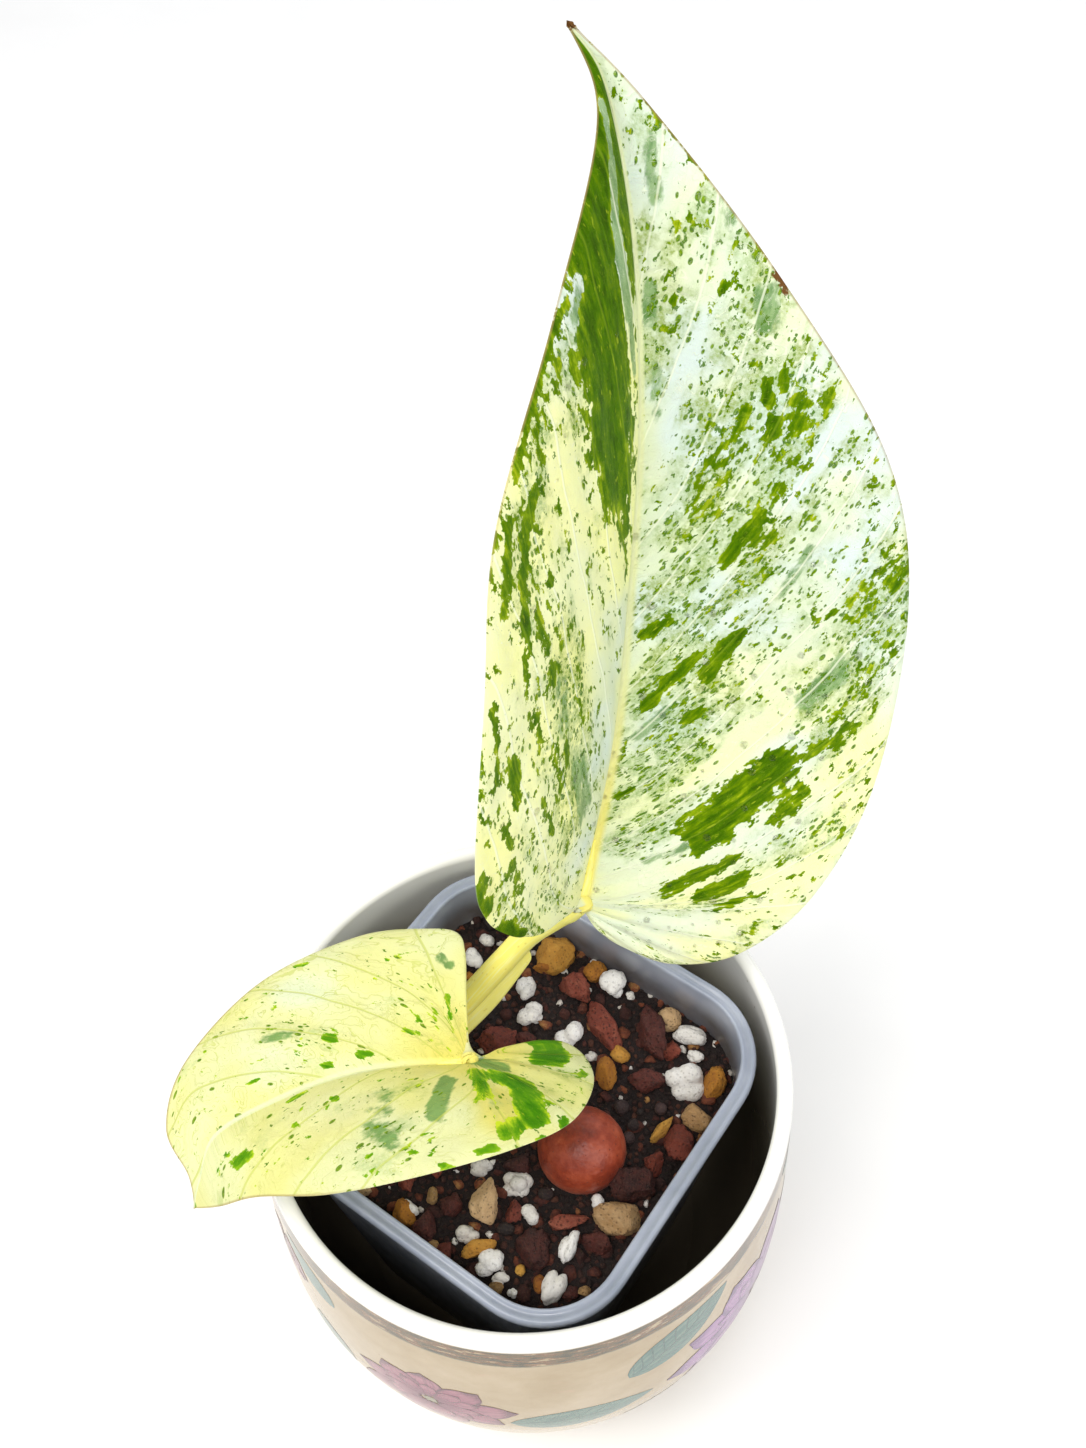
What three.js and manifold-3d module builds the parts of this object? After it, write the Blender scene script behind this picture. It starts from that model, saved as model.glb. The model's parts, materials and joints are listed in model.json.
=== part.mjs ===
// A young variegated pothos in a square nursery pot, which stands loose in a round glazed pot.
// Millimetres, +Z up. The origin is the centre of the glazed pot's foot, and -Y is the front.
import * as THREE from 'three';
import { mergeVertices } from 'three/addons/utils/BufferGeometryUtils.js';
import Module from 'manifold-3d';

const wasm = await Module();
wasm.setup();

// Driving dimensions of the two pots
const GAP = 0.3; // clearance between pieces that touch
const POT = { height: 86, foot: 39, rim: 50, lip: 1.55, floor: 5, turns: 48 };
const NURSERY = { side: 74, corner: 16.9, top: 82, flange: 3, wall: 1, foot: 57, footCorner: 13 };
const NURSERY_PLACE = { x: -0.9, y: -0.2, turn: 53.4 }; // the square stands askew in the round pot
const SOIL = 70; // height of the potting mix at the wall
const DRAIN = { radius: 4, spread: 17, sides: 14 };
const CLAY_BALL = { at: [10.5, -11.3, 73], radius: 8.4 };

// Driving dimensions of the plant
const STEM = {
  path: [[-18.5, 8.5, 40], [-18.6, 9.5, 58], [-18.4, 10.8, 70], [-17.6, 11.9, 75.5]],
  radius: 2.9, ring: 0.5, ringAt: 0.84, ringWidth: 0.06,
};
const ROOTS = {
  count: 5, radius: 0.9, length: 26, spread: 8, turn: 0.4, apart: 3.2, twist: 0.6, thin: 0.45,
};
const PETIOLE_LARGE = {
  path: [[-18.2, 11.2, 71.5], [-16.6, 12.4, 77], [-9.9, 16.5, 82.5], [-3.3, 19.3, 91],
    [1.7, 20.9, 98], [6.8, 21.3, 103.5], [10.8, 20.9, 108.8]],
  foot: 4.1, waist: 2.6, top: 2.2,
};
const SHEATH = {
  reach: 5.6, thick: 0.9, root: 0.6, from: 0.05, to: 0.66, lean: [0.62, -0.55, -0.56],
  narrow: 0.35, curl: 0.05,
};
const PETIOLE_SMALL = {
  path: [[-18.2, 10.4, 70.5], [-17.9, 8.2, 75], [-15.9, 4.6, 83], [-12.8, -0.4, 92],
    [-10.1, -4.6, 98.6]],
  foot: 3.4, waist: 1.8, top: 1.6,
};

// A blade is given in its own frame: along from base to tip, across to its right, and rise off its face.
// Each margin runs from the notch at the petiole, round the lobe, to the tip.
const LEAF_LARGE = {
  base: [11.5, 20.5, 110], tip: [13.5, 86, 240], facing: [0.18, -0.87, 0.45], length: 144.5,
  midrib: [[0, 0, 0], [29.5, 6.5, -2.5], [58.5, 9.5, -4], [87, 10.5, -3], [115, 8.5, -1],
    [136, 4, 0], [144.5, -1.5, 0.5]],
  right: [[-5.5, 3, 0.5], [-8.5, 7, 3], [-12.5, 16.5, 5], [-10, 28.5, 7.5], [1, 41.5, 8], [21.5, 52, 6],
    [53.5, 56, 4], [80.5, 49.5, 4.5], [110, 29.5, 4.5], [134, 9.5, 2.5]],
  left: [[2.5, -3.5, 2.5], [4.5, -9, 11], [6, -13, 16.5], [10.5, -17, 22], [18.5, -21.5, 28.5],
    [30, -23.5, 33], [57, -21, 31.5], [81, -18, 27], [107, -7, 14.5], [131.5, 2, 3]],
  arch: 0.04, keel: 1.5,
};
const LEAF_SMALL = {
  base: [-9, -5.5, 101], tip: [-57, -27, 92.5], facing: [-0.2, 0.13, 0.97], length: 53,
  midrib: [[0, 0, 0], [9.5, 3.5, 3], [19.5, 6, 5.5], [31, 6.5, 7.5], [43.5, 5.2, 8.6],
    [49.4, 0.7, 5.2], [53, -0.3, 0.2]],
  right: [[-0.5, 1.5, 0], [-3, 9, 1], [-6, 17.5, 1], [-8.5, 25.5, 1], [-3.5, 29.5, 2.5],
    [9, 33.5, 5], [28, 31.8, 8], [44.3, 21, 11], [51.2, 10.5, 10], [50.9, 2.4, 5.6]],
  left: [[-1, -0.5, 0], [-7, -0.5, -3.5], [-15, 0.5, -7], [-18.5, -5, -7], [-17.5, -14.2, -2.5],
    [-10.8, -22.3, 3.5], [0.3, -24.4, 8.5], [16.1, -21.6, 10.5], [29.4, -16.3, 9.5], [40.6, -8.6, 6.6],
    [47.6, -4.6, 3.3]],
  arch: 0.05, keel: 1,
};
const BLADE = { thick: 0.8, steps: 26, rows: 5, fan: 0.36, lag: 1.35 };

// The larger stones and lumps of perlite that lie on top, as [x, y, length, width, turn in degrees]
const LUMPS = [
  [-7, 35, 4, 3.5, 0], [-10, 30.5, 4.5, 4, 90], [0.5, 23, 5.5, 4, 70], [1.5, 17, 6, 5, 60],
  [18.5, 23.5, 6, 5.5, 0], [32.5, 12, 7.5, 4, -20], [9, 12.5, 6.5, 6, 90], [13, 8, 3, 2.5, 0],
  [33.5, 7.5, 3.5, 2.5, -30], [31, 2, 8, 7, 0], [-8.5, -13.5, 4.5, 3, 0], [-2, -17, 6.5, 5, 0],
  [13.5, -20.5, 3.5, 3, 20], [-22, -21, 4, 3, -45], [0.5, -22.5, 4, 3.5, -30], [-11, -26, 4.5, 3.5, 0],
  [-7, -31, 5.5, 5, 0], [7.5, -28.5, 6.5, 3.5, 65], [-5, -34, 3.5, 2.5, 0], [4.5, -35.5, 7, 4.5, 60],
  [7.5, 31.5, 8.5, 8, 0], [4.5, 28, 5, 2.5, 0], [16, 28.5, 5.5, 5, 0], [16, 4, 7, 4.5, 90],
  [38, 1.5, 7.5, 5, 60], [-11, 26.5, 3, 2, 0], [-24, -23.5, 6.5, 4.5, -50], [-9, -28.5, 7, 3.5, 25],
  [2, -35, 3.5, 2.5, 90], [26, -7, 7, 2.5, 45], [30, 16.5, 5.5, 5, -30], [33.5, -5.5, 6.5, 6, 0],
  [16.5, -24, 9.5, 6.5, -10], [-8, -20.5, 9.5, 5.5, 80], [-17.5, -18.5, 3.5, 2.5, 90],
  [-6, -35.5, 3, 2.5, 0], [10, -36.5, 2.5, 2, 0], [10, 23.5, 9, 7, -20], [16, 13.5, 13.5, 5.5, -58],
  [25, 12, 12, 6.5, -75], [-5.5, 11.5, 8.5, 6.5, 0], [0.5, 12.5, 4.5, 3, 0], [23.5, 2.5, 7.5, 6, 0],
  [29, 9, 4.5, 4, 0], [29, -10.5, 8.5, 6.5, 80], [24, -13.5, 6, 4, 70], [-1.5, -13.5, 6, 5.5, 0],
  [19.5, -17.5, 9.5, 8, -20], [-2.5, -22, 5, 3.5, 80], [7, -24, 9, 4, 0], [0.5, -28.5, 8.5, 7, 90],
  [13, -28.5, 7, 4.5, -10], [7.5, -37, 3.5, 3, 0], [-19, -24, 7.5, 5, 80], [-13.5, -20.5, 5.5, 5, 0],
  [18.5, -2.5, 3, 3, 0], [26, -3, 2.5, 2.5, 0], [20.5, -6, 2.5, 2.5, 0], [3.5, -19, 3, 2.5, 0],
];
const FILL = { tries: 200, seed: 11, small: 3.8, large: 7.5, plain: 5.2, close: 0.86 };
const LUMP = { tall: 0.46, lift: 0.16, swell: [0.94, 1.16] }; // as shares of a lump's size

const { sin, cos, PI, hypot, abs, min, max, sqrt, sign } = Math;
const v3 = (p) => new THREE.Vector3(...p);
const lerp = THREE.MathUtils.lerp;

// A repeatable source of numbers from 0 to 1
function dice(seed) {
  let state = seed;
  return () => {
    state = (state * 16807) % 2147483647;
    return state / 2147483647;
  };
}

// Geometry helpers
function fromTriangles(points, triangles) {
  const geometry = new THREE.BufferGeometry();
  geometry.setAttribute('position', new THREE.Float32BufferAttribute(points.flat(), 3));
  geometry.setIndex(triangles.filter(([a, b, c]) => a !== b && b !== c && c !== a).flat());
  return geometry;
}

function welded(geometry) {
  const copy = geometry.clone();
  copy.deleteAttribute('normal');
  copy.deleteAttribute('uv');
  return mergeVertices(copy, 1e-4);
}

function outward(geometry) {
  const shape = welded(geometry);
  const p = shape.attributes.position;
  const index = shape.index.array;
  const corner = (n) => new THREE.Vector3().fromBufferAttribute(p, index[n]);
  let volume = 0;
  for (let i = 0; i < index.length; i += 3) volume += corner(i).dot(corner(i + 1).cross(corner(i + 2)));
  if (volume < 0) {
    for (let i = 0; i < index.length; i += 3) [index[i], index[i + 1]] = [index[i + 1], index[i]];
  }
  return shape;
}

function solidOf(geometry) {
  const shape = outward(geometry);
  return new wasm.Manifold(new wasm.Mesh({
    numProp: 3,
    vertProperties: new Float32Array(shape.attributes.position.array),
    triVerts: new Uint32Array(shape.index.array),
  }));
}

// The largest body of a solid, so that a cut leaves no loose scrap
function geometryOf(solid) {
  const bodies = solid.decompose().sort((a, b) => b.volume() - a.volume());
  const mesh = bodies[0].getMesh();
  const geometry = new THREE.BufferGeometry();
  geometry.setAttribute('position', new THREE.Float32BufferAttribute(mesh.vertProperties, 3));
  geometry.setIndex([...mesh.triVerts]);
  return geometry;
}

// Closed loops of equal length joined into one skin, with a fan over the first and the last
function loft(loops) {
  const count = loops[0].length;
  const points = loops.flat();
  const triangles = [];
  for (let i = 0; i + 1 < loops.length; i += 1) {
    for (let j = 0; j < count; j += 1) {
      const a = i * count + j;
      const b = i * count + ((j + 1) % count);
      triangles.push([a, b, b + count], [a, b + count, a + count]);
    }
  }
  const mean = (loop, axis) => loop.reduce((sum, p) => sum + p[axis], 0) / count;
  const middle = (loop) => [0, 1, 2].map((axis) => mean(loop, axis));
  points.push(middle(loops[0]), middle(loops.at(-1)));
  const low = points.length - 2;
  const last = (loops.length - 1) * count;
  for (let j = 0; j < count; j += 1) {
    const next = (j + 1) % count;
    triangles.push([low, next, j], [low + 1, last + j, last + next]);
  }
  return fromTriangles(points, triangles);
}

// A round bar along a curve, whose radius follows a rule from 0 at its foot to 1 at its top
function bar(path, radiusAt, sides = 12, steps = 16) {
  const curve = new THREE.CatmullRomCurve3(path.map(v3));
  const frames = curve.computeFrenetFrames(steps, false);
  const loops = [];
  for (let i = 0; i <= steps; i += 1) {
    const centre = curve.getPointAt(i / steps);
    const radius = radiusAt(i / steps);
    const loop = [];
    for (let j = 0; j < sides; j += 1) {
      const angle = (j / sides) * 2 * PI;
      const out = frames.normals[i].clone().multiplyScalar(cos(angle) * radius);
      out.addScaledVector(frames.binormals[i], sin(angle) * radius);
      loop.push(out.add(centre).toArray());
    }
    loops.push(loop);
  }
  return loft(loops);
}

// A square with round corners at one height
function roundedSquare(side, corner, height, steps = 6) {
  const loop = [];
  for (let quarter = 0; quarter < 4; quarter += 1) {
    for (let i = 0; i <= steps; i += 1) {
      const angle = ((quarter + i / steps) * PI) / 2;
      const centre = side / 2 - corner;
      const cx = centre * (quarter === 0 || quarter === 3 ? 1 : -1);
      const cy = centre * (quarter < 2 ? 1 : -1);
      loop.push([cx + corner * cos(angle), cy + corner * sin(angle), height]);
    }
  }
  return loop;
}

// Glazed pot: a bellied wall that turns over in a round lip, on a flat foot
function outerPot() {
  const v = (r, z) => new THREE.Vector2(r, z);
  const { height, foot, rim, lip, floor, turns } = POT;
  const belly = [v(45.4, 9), v(49.6, 20), v(51.8, 34), v(52.1, 46), v(51.5, 61), v(50.6, 75)];
  const hollow = [v(47.6, 72), v(48.1, 50), v(47.3, 32), v(44.4, 18.5), v(40.8, 10), v(36.2, floor)];
  const top = height - lip;
  const outside = new THREE.SplineCurve([v(foot + 1.4, 1.2), ...belly, v(rim, top)]).getPoints(11);
  const inside = new THREE.SplineCurve([v(rim - 2 * lip, top), ...hollow]).getPoints(9);
  const edge = [];
  for (let i = 1; i < 5; i += 1) {
    const angle = (i / 5) * PI;
    edge.push(v(rim - lip + lip * cos(angle), top + lip * sin(angle)));
  }
  const profile = [v(0, 0), v(foot, 0), ...outside, ...edge, ...inside, v(0, floor)];
  return outward(new THREE.LatheGeometry(profile, turns).rotateX(PI / 2));
}

// The nursery pot's inner wall as [height, side, corner], from its floor to its mouth
const NECK = NURSERY.side - 2 * NURSERY.flange + 2 * NURSERY.wall;
const INNER = [
  [POT.floor + GAP + 1.4, NURSERY.foot - 2 * NURSERY.wall, NURSERY.footCorner - NURSERY.wall],
  [SOIL - 4, NECK - 1.4 - 2 * NURSERY.wall, NURSERY.corner - 2.6 - NURSERY.wall],
  [NURSERY.top - 0.7, NURSERY.side - 2 * NURSERY.flange, NURSERY.corner - NURSERY.flange],
];

function innerWall(height, clear = 0) {
  const n = height > INNER[1][0] ? 1 : 0;
  const [from, to] = [INNER[n], INNER[n + 1]];
  const t = (height - from[0]) / (to[0] - from[0]);
  return roundedSquare(lerp(from[1], to[1], t) - 2 * clear, lerp(from[2], to[2], t) - clear, height);
}

// Nursery pot: tapered wall, turned-out flange, floor with drain holes
function nurseryPot() {
  const { side, corner, top, flange, foot, footCorner } = NURSERY;
  const low = POT.floor + GAP;
  const loops = [
    roundedSquare(foot - 1.6, footCorner - 0.8, low),
    roundedSquare(foot, footCorner, low + 1),
    roundedSquare(NECK - 1.4, corner - 2.6, SOIL - 4),
    roundedSquare(NECK, corner - 2, top - 3),
    roundedSquare(side - 0.8, corner - 0.4, top - 3),
    roundedSquare(side, corner, top - 2.4),
    roundedSquare(side, corner, top - 0.8),
    roundedSquare(side - 1.4, corner - 0.7, top),
    roundedSquare(side - 2 * flange + 1.2, corner - flange + 0.6, top),
    ...[...INNER].reverse().map(([height]) => innerWall(height)),
  ];
  let pot = solidOf(loft(loops));
  const holes = [[0, 0], [1, 1], [1, -1], [-1, 1], [-1, -1]];
  for (const [x, y] of holes) {
    const drill = new THREE.CylinderGeometry(DRAIN.radius, DRAIN.radius, 6, DRAIN.sides).rotateX(PI / 2);
    pot = pot.subtract(solidOf(drill.translate(x * DRAIN.spread, y * DRAIN.spread, low)));
  }
  return outward(geometryOf(pot));
}

// Turns a point from the glazed pot's frame into the square pot's, and back
function intoSquare(x, y, back = false) {
  const angle = (NURSERY_PLACE.turn * PI) / 180;
  const [c, s] = [cos(angle), sin(angle)];
  if (back) return [NURSERY_PLACE.x + x * c - y * s, NURSERY_PLACE.y + x * s + y * c];
  const dx = x - NURSERY_PLACE.x;
  const dy = y - NURSERY_PLACE.y;
  return [dx * c + dy * s, dy * c - dx * s];
}

// Half the mix's width at its surface, and the radius of its corners
const SOIL_HALF = NURSERY.side / 2 - NURSERY.flange - 0.5 - GAP;
const SOIL_CORNER = NURSERY.corner - NURSERY.flange - 0.4 - GAP;

// Moves a stone of a given radius inwards until it clears the wall
function insideSquare(x, y, radius) {
  const half = SOIL_HALF - radius;
  const corner = max(0.1, SOIL_CORNER - radius);
  let [a, b] = intoSquare(x, y);
  a = max(-half, min(half, a));
  b = max(-half, min(half, b));
  const pastA = abs(a) - (half - corner);
  const pastB = abs(b) - (half - corner);
  if (pastA > 0 && pastB > 0 && hypot(pastA, pastB) > corner) {
    const pull = corner / hypot(pastA, pastB);
    a = sign(a) * (half - corner + pastA * pull);
    b = sign(b) * (half - corner + pastB * pull);
  }
  return intoSquare(a, b, true);
}

// The listed stones, then smaller ones drawn at random in the room that is left
function stones() {
  const listed = LUMPS.map(([x, y, long, wide, turn]) => {
    const [px, py] = insideSquare(x, y, (long + wide) / 4);
    return { x: px, y: py, long, wide, turn };
  });
  const roll = dice(FILL.seed);
  const taken = listed.map((s) => [s.x, s.y, (s.long + s.wide) / 4]);
  taken.push([...CLAY_BALL.at.slice(0, 2), CLAY_BALL.radius], [...STEM.path[3].slice(0, 2), 4]);
  const drawn = [];
  for (let i = 0; i < FILL.tries; i += 1) {
    const long = lerp(FILL.large, FILL.small, sqrt(roll()));
    const wide = long * lerp(0.65, 1, roll());
    const size = (long + wide) / 4;
    const [a, b] = [(roll() - 0.5) * 2 * SOIL_HALF, (roll() - 0.5) * 2 * SOIL_HALF];
    const [x, y] = insideSquare(...intoSquare(a, b, true), size);
    const turn = 360 * roll();
    if (taken.every(([px, py, r]) => hypot(px - x, py - y) > (r + size) * FILL.close)) {
      taken.push([x, y, size]);
      drawn.push({ x, y, long, wide, turn });
    }
  }
  return [...listed, ...drawn];
}

// One stone: a rough lump of twenty sides, or of eight where it is small, sunk to a third of its height
function stoneGeometry({ x, y, long, wide, turn }, roll) {
  const Lump = long < FILL.plain ? THREE.OctahedronGeometry : THREE.IcosahedronGeometry;
  const shape = welded(new Lump(0.5, 0));
  const p = shape.attributes.position;
  for (let i = 0; i < p.count; i += 1) {
    const swell = lerp(...LUMP.swell, roll());
    p.setXYZ(i, p.getX(i) * swell, p.getY(i) * swell, p.getZ(i) * swell);
  }
  const tall = (long + wide) * LUMP.tall;
  shape.scale(long, wide, tall).rotateZ((turn * PI) / 180);
  return shape.translate(x, y, SOIL + ground(x, y) + tall * LUMP.lift);
}

// The mix lies a little higher in the middle, in soft hummocks
function ground(x, y) {
  const [a, b] = intoSquare(x, y);
  const inner = 1 - min(1, hypot(a, b) / 42) ** 2;
  return inner * (0.9 + 0.8 * sin(a * 0.23 + 1) * cos(b * 0.19));
}

function pottingMix(cuts) {
  const placed = (loop, shrink = 1) => loop.map(([x, y, z]) => {
    const [px, py] = intoSquare(x * shrink, y * shrink, true);
    return [px, py, shrink < 1 ? z + ground(px, py) : z];
  });
  const floor = INNER[0][0] + GAP;
  const sides = [floor, 28, 48, INNER[1][0], SOIL].map((height) => placed(innerWall(height, GAP)));
  const tops = [0.86, 0.68, 0.48, 0.26].map((shrink) => placed(innerWall(SOIL, GAP), shrink));
  const room = [floor, INNER[1][0], INNER[2][0]].map((height) => placed(innerWall(height, GAP)));
  let mix = solidOf(loft([...sides, ...tops]));
  const roll = dice(FILL.seed + 1);
  for (const stone of stones()) mix = mix.add(solidOf(stoneGeometry(stone, roll)));
  mix = mix.intersect(solidOf(loft(room)));
  for (const cut of cuts) mix = mix.subtract(cut);
  return outward(geometryOf(mix));
}

function clayBall(extra = 0) {
  const ball = new THREE.SphereGeometry(CLAY_BALL.radius + extra, 18, 12);
  ball.rotateX(PI / 2).scale(1, 0.97, 0.95);
  return ball.translate(...CLAY_BALL.at);
}

// Stem cutting with a node ring at the surface and short roots below
function stem(extra = 0) {
  const ring = (t) => STEM.ring * Math.exp(-(((t - STEM.ringAt) / STEM.ringWidth) ** 2));
  let whole = solidOf(bar(STEM.path, (t) => STEM.radius + extra + ring(t), 14, 18));
  for (let i = 0; i < ROOTS.count; i += 1) {
    const angle = (i / ROOTS.count) * 2 * PI + ROOTS.turn;
    const [x, y, z] = STEM.path[1];
    const start = z - 2 - ROOTS.apart * i;
    const path = [0, 0.35, 0.7, 1].map((t) => [
      x + cos(angle + t * ROOTS.twist) * ROOTS.spread * t,
      y + sin(angle + t * ROOTS.twist) * ROOTS.spread * t,
      start - ROOTS.length * t * t * 0.8,
    ]);
    whole = whole.add(solidOf(bar(path, (t) => ROOTS.radius * (1 - ROOTS.thin * t) + extra, 6, 7)));
  }
  return whole;
}

function petiole({ path, foot, waist, top }, extra = 0) {
  const radius = (t) => lerp(waist, top, t) + (foot - waist) * Math.exp(-((t / 0.12) ** 2)) + extra;
  return solidOf(bar(path, radius, 12, 22));
}

// Sheath: the thin wing that wraps the lower part of the large petiole
function sheath(extra = 0) {
  const curve = new THREE.CatmullRomCurve3(PETIOLE_LARGE.path.map(v3));
  const lean = v3(SHEATH.lean);
  const steps = 14;
  const loops = [];
  for (let i = 0; i <= steps; i += 1) {
    const t = lerp(SHEATH.from, SHEATH.to, i / steps);
    const centre = curve.getPointAt(t);
    const tangent = curve.getTangentAt(t);
    const out = lean.clone().addScaledVector(tangent, -lean.dot(tangent)).normalize();
    const side = new THREE.Vector3().crossVectors(tangent, out);
    const reach = SHEATH.reach * (1 - SHEATH.narrow * (i / steps) ** 2) + extra;
    const half = SHEATH.thick / 2 + extra;
    const upper = [[SHEATH.root, half], [reach * 0.6, half], [reach, half * 0.7]];
    const section = [...upper, ...upper.map(([r, s]) => [r, -s]).reverse()];
    loops.push(section.map(([r, s]) => {
      const curl = s + SHEATH.curl * r * r;
      return centre.clone().addScaledVector(out, r).addScaledVector(side, curl).toArray();
    }));
  }
  return solidOf(loft(loops));
}

// Blade: ruled from the midrib to each margin, arched a little between them, thicker along the midrib
function blade(leaf, extra = 0) {
  const { base, tip, facing, midrib, left, right, length, arch, keel } = leaf;
  const along = v3(tip).sub(v3(base)).normalize();
  const face = v3(facing).addScaledVector(along, -v3(facing).dot(along)).normalize();
  const across = new THREE.Vector3().crossVectors(along, face);
  const place = ({ x, y, z }) => v3(base).addScaledVector(along, x).addScaledVector(across, y)
    .addScaledVector(face, z);
  const curve = (points) => new THREE.CatmullRomCurve3(points.map(v3), false, 'catmullrom', 0.5);
  const end = midrib.at(-1);
  const rib = curve(midrib);
  const margins = [curve([[0, 0, 0], ...right, end]), curve([[0, 0, 0], ...left, end])];
  const { steps, rows, fan, lag } = BLADE;
  const points = [];
  const ribIndex = [];
  for (let i = 0; i <= steps; i += 1) {
    const t = max(0, (i / steps - fan) / (1 - fan)) ** lag;
    if (t > 0 || i === 0) points.push(place(rib.getPoint(t)));
    ribIndex.push(points.length - 1);
  }
  const grids = margins.map((margin) => ribIndex.map((start, i) => {
    const row = [start];
    if (i === 0 || i === steps) return Array(rows + 1).fill(start);
    const from = points[start];
    const to = place(margin.getPoint(i / steps));
    const reach = from.distanceTo(to);
    const out = to.clone().sub(from).normalize();
    for (let k = 1; k <= rows; k += 1) {
      const t = k / rows;
      const spot = from.clone().addScaledVector(out, t * reach + (k === rows ? extra : 0));
      points.push(spot.addScaledVector(face, arch * reach * 4 * t * (1 - t)));
      row.push(points.length - 1);
    }
    return row;
  }));
  const triangles = [];
  grids.forEach((grid, hand) => {
    for (let i = 0; i < steps; i += 1) {
      for (let k = 0; k < rows; k += 1) {
        const quad = [grid[i][k], grid[i][k + 1], grid[i + 1][k + 1], grid[i + 1][k]];
        const [a, b, c, d] = hand === 0 ? quad : quad.reverse();
        triangles.push([a, b, c], [a, c, d]);
      }
    }
  });
  const kept = triangles.filter(([a, b, c]) => a !== b && b !== c && c !== a);
  const normals = points.map(() => new THREE.Vector3());
  for (const [a, b, c] of kept) {
    const turn = points[b].clone().sub(points[a]).cross(points[c].clone().sub(points[a]));
    for (const n of [a, b, c]) normals[n].add(turn);
  }
  const ribSteps = new Map(ribIndex.map((n, i) => [n, i / steps]));
  const half = BLADE.thick / 2 + extra;
  const upper = points.map((p, i) => p.clone().addScaledVector(normals[i].normalize(), half));
  const lower = points.map((p, i) => {
    const deep = ribSteps.has(i) ? keel * (1 - 0.8 * ribSteps.get(i)) : 0;
    return p.clone().addScaledVector(normals[i], -half - deep);
  });
  const count = points.length;
  const shell = kept.flatMap(([a, b, c]) => [[a, b, c], [a + count, c + count, b + count]]);
  const [rightRim, leftRim] = grids.map((grid) => grid.map((row) => row[rows]));
  const rim = [...rightRim, ...leftRim.reverse().slice(1, -1)];
  rim.forEach((a, i) => {
    const b = rim[(i + 1) % rim.length];
    shell.push([a, a + count, b + count], [a, b + count, b]);
  });
  if (abs(length - rib.getPoint(1).x) > 1) throw new Error('blade length and midrib disagree');
  return solidOf(fromTriangles([...upper, ...lower].map((p) => p.toArray()), shell));
}

// Assembly
const plant = new THREE.Group();

function add(name, geometry, color, roughness) {
  const material = new THREE.MeshStandardMaterial({ color, roughness, metalness: 0 });
  const mesh = new THREE.Mesh(geometry, material);
  mesh.name = name;
  plant.add(mesh);
  return mesh;
}

add('outer_pot', outerPot(), '#d8cbb2', 0.25);
const nursery = add('nursery_pot', nurseryPot(), '#9aa0ab', 0.4);
nursery.position.set(NURSERY_PLACE.x, NURSERY_PLACE.y, 0);
nursery.rotation.z = (NURSERY_PLACE.turn * PI) / 180;

const largeBlade = blade(LEAF_LARGE);
const smallBlade = blade(LEAF_SMALL);
const stemSpace = stem(GAP);
const largePetiole = petiole(PETIOLE_LARGE).add(sheath()).subtract(stemSpace)
  .subtract(blade(LEAF_LARGE, GAP));
const largeSpace = petiole(PETIOLE_LARGE, GAP).add(sheath(GAP));
const smallPetiole = petiole(PETIOLE_SMALL).subtract(stemSpace).subtract(largeSpace)
  .subtract(blade(LEAF_SMALL, GAP));
const cuts = [stemSpace, largeSpace, petiole(PETIOLE_SMALL, GAP), solidOf(clayBall(GAP))];

add('potting_mix', pottingMix(cuts), '#4a2a20', 0.9);
add('clay_ball', outward(clayBall()), '#8a4028', 0.8);
add('stem', outward(geometryOf(stem())), '#b9bf62', 0.5);
add('petiole_large', outward(geometryOf(largePetiole)), '#e9e072', 0.45);
add('petiole_small', outward(geometryOf(smallPetiole)), '#dfd86e', 0.45);
add('leaf_large', outward(geometryOf(largeBlade)), '#d9e6c4', 0.4);
add('leaf_small', outward(geometryOf(smallBlade)), '#f0f0a8', 0.4);

export default plant;
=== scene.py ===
"""A young variegated pothos in a square nursery pot, which stands loose in a round glazed pot.

Shapes are worked out in millimetres, with +Z up and -Y the front, and mesh_of() turns them to metres.
"""
import json
import math

import bmesh
import bpy
import numpy as np
from mathutils import Matrix, Vector, noise

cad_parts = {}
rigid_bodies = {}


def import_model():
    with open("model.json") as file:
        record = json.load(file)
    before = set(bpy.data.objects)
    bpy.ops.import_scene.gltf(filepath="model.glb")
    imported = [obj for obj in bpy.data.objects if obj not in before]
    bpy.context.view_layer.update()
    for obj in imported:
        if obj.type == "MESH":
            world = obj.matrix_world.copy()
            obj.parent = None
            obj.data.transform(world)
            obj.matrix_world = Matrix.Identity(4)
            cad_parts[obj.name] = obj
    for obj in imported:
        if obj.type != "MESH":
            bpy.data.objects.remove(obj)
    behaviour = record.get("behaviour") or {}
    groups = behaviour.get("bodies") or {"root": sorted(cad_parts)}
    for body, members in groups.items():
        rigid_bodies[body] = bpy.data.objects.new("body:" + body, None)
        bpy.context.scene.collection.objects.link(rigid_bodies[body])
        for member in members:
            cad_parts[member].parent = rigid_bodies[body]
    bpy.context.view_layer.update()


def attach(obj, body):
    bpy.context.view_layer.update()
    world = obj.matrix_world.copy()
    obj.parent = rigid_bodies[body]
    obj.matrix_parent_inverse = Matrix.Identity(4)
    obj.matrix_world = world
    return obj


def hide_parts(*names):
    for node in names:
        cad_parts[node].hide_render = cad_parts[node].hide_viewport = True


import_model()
BODY = "root"
MM = 0.001
MERGE = 1e-7  # points that lie closer than this, in metres, become one

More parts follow.
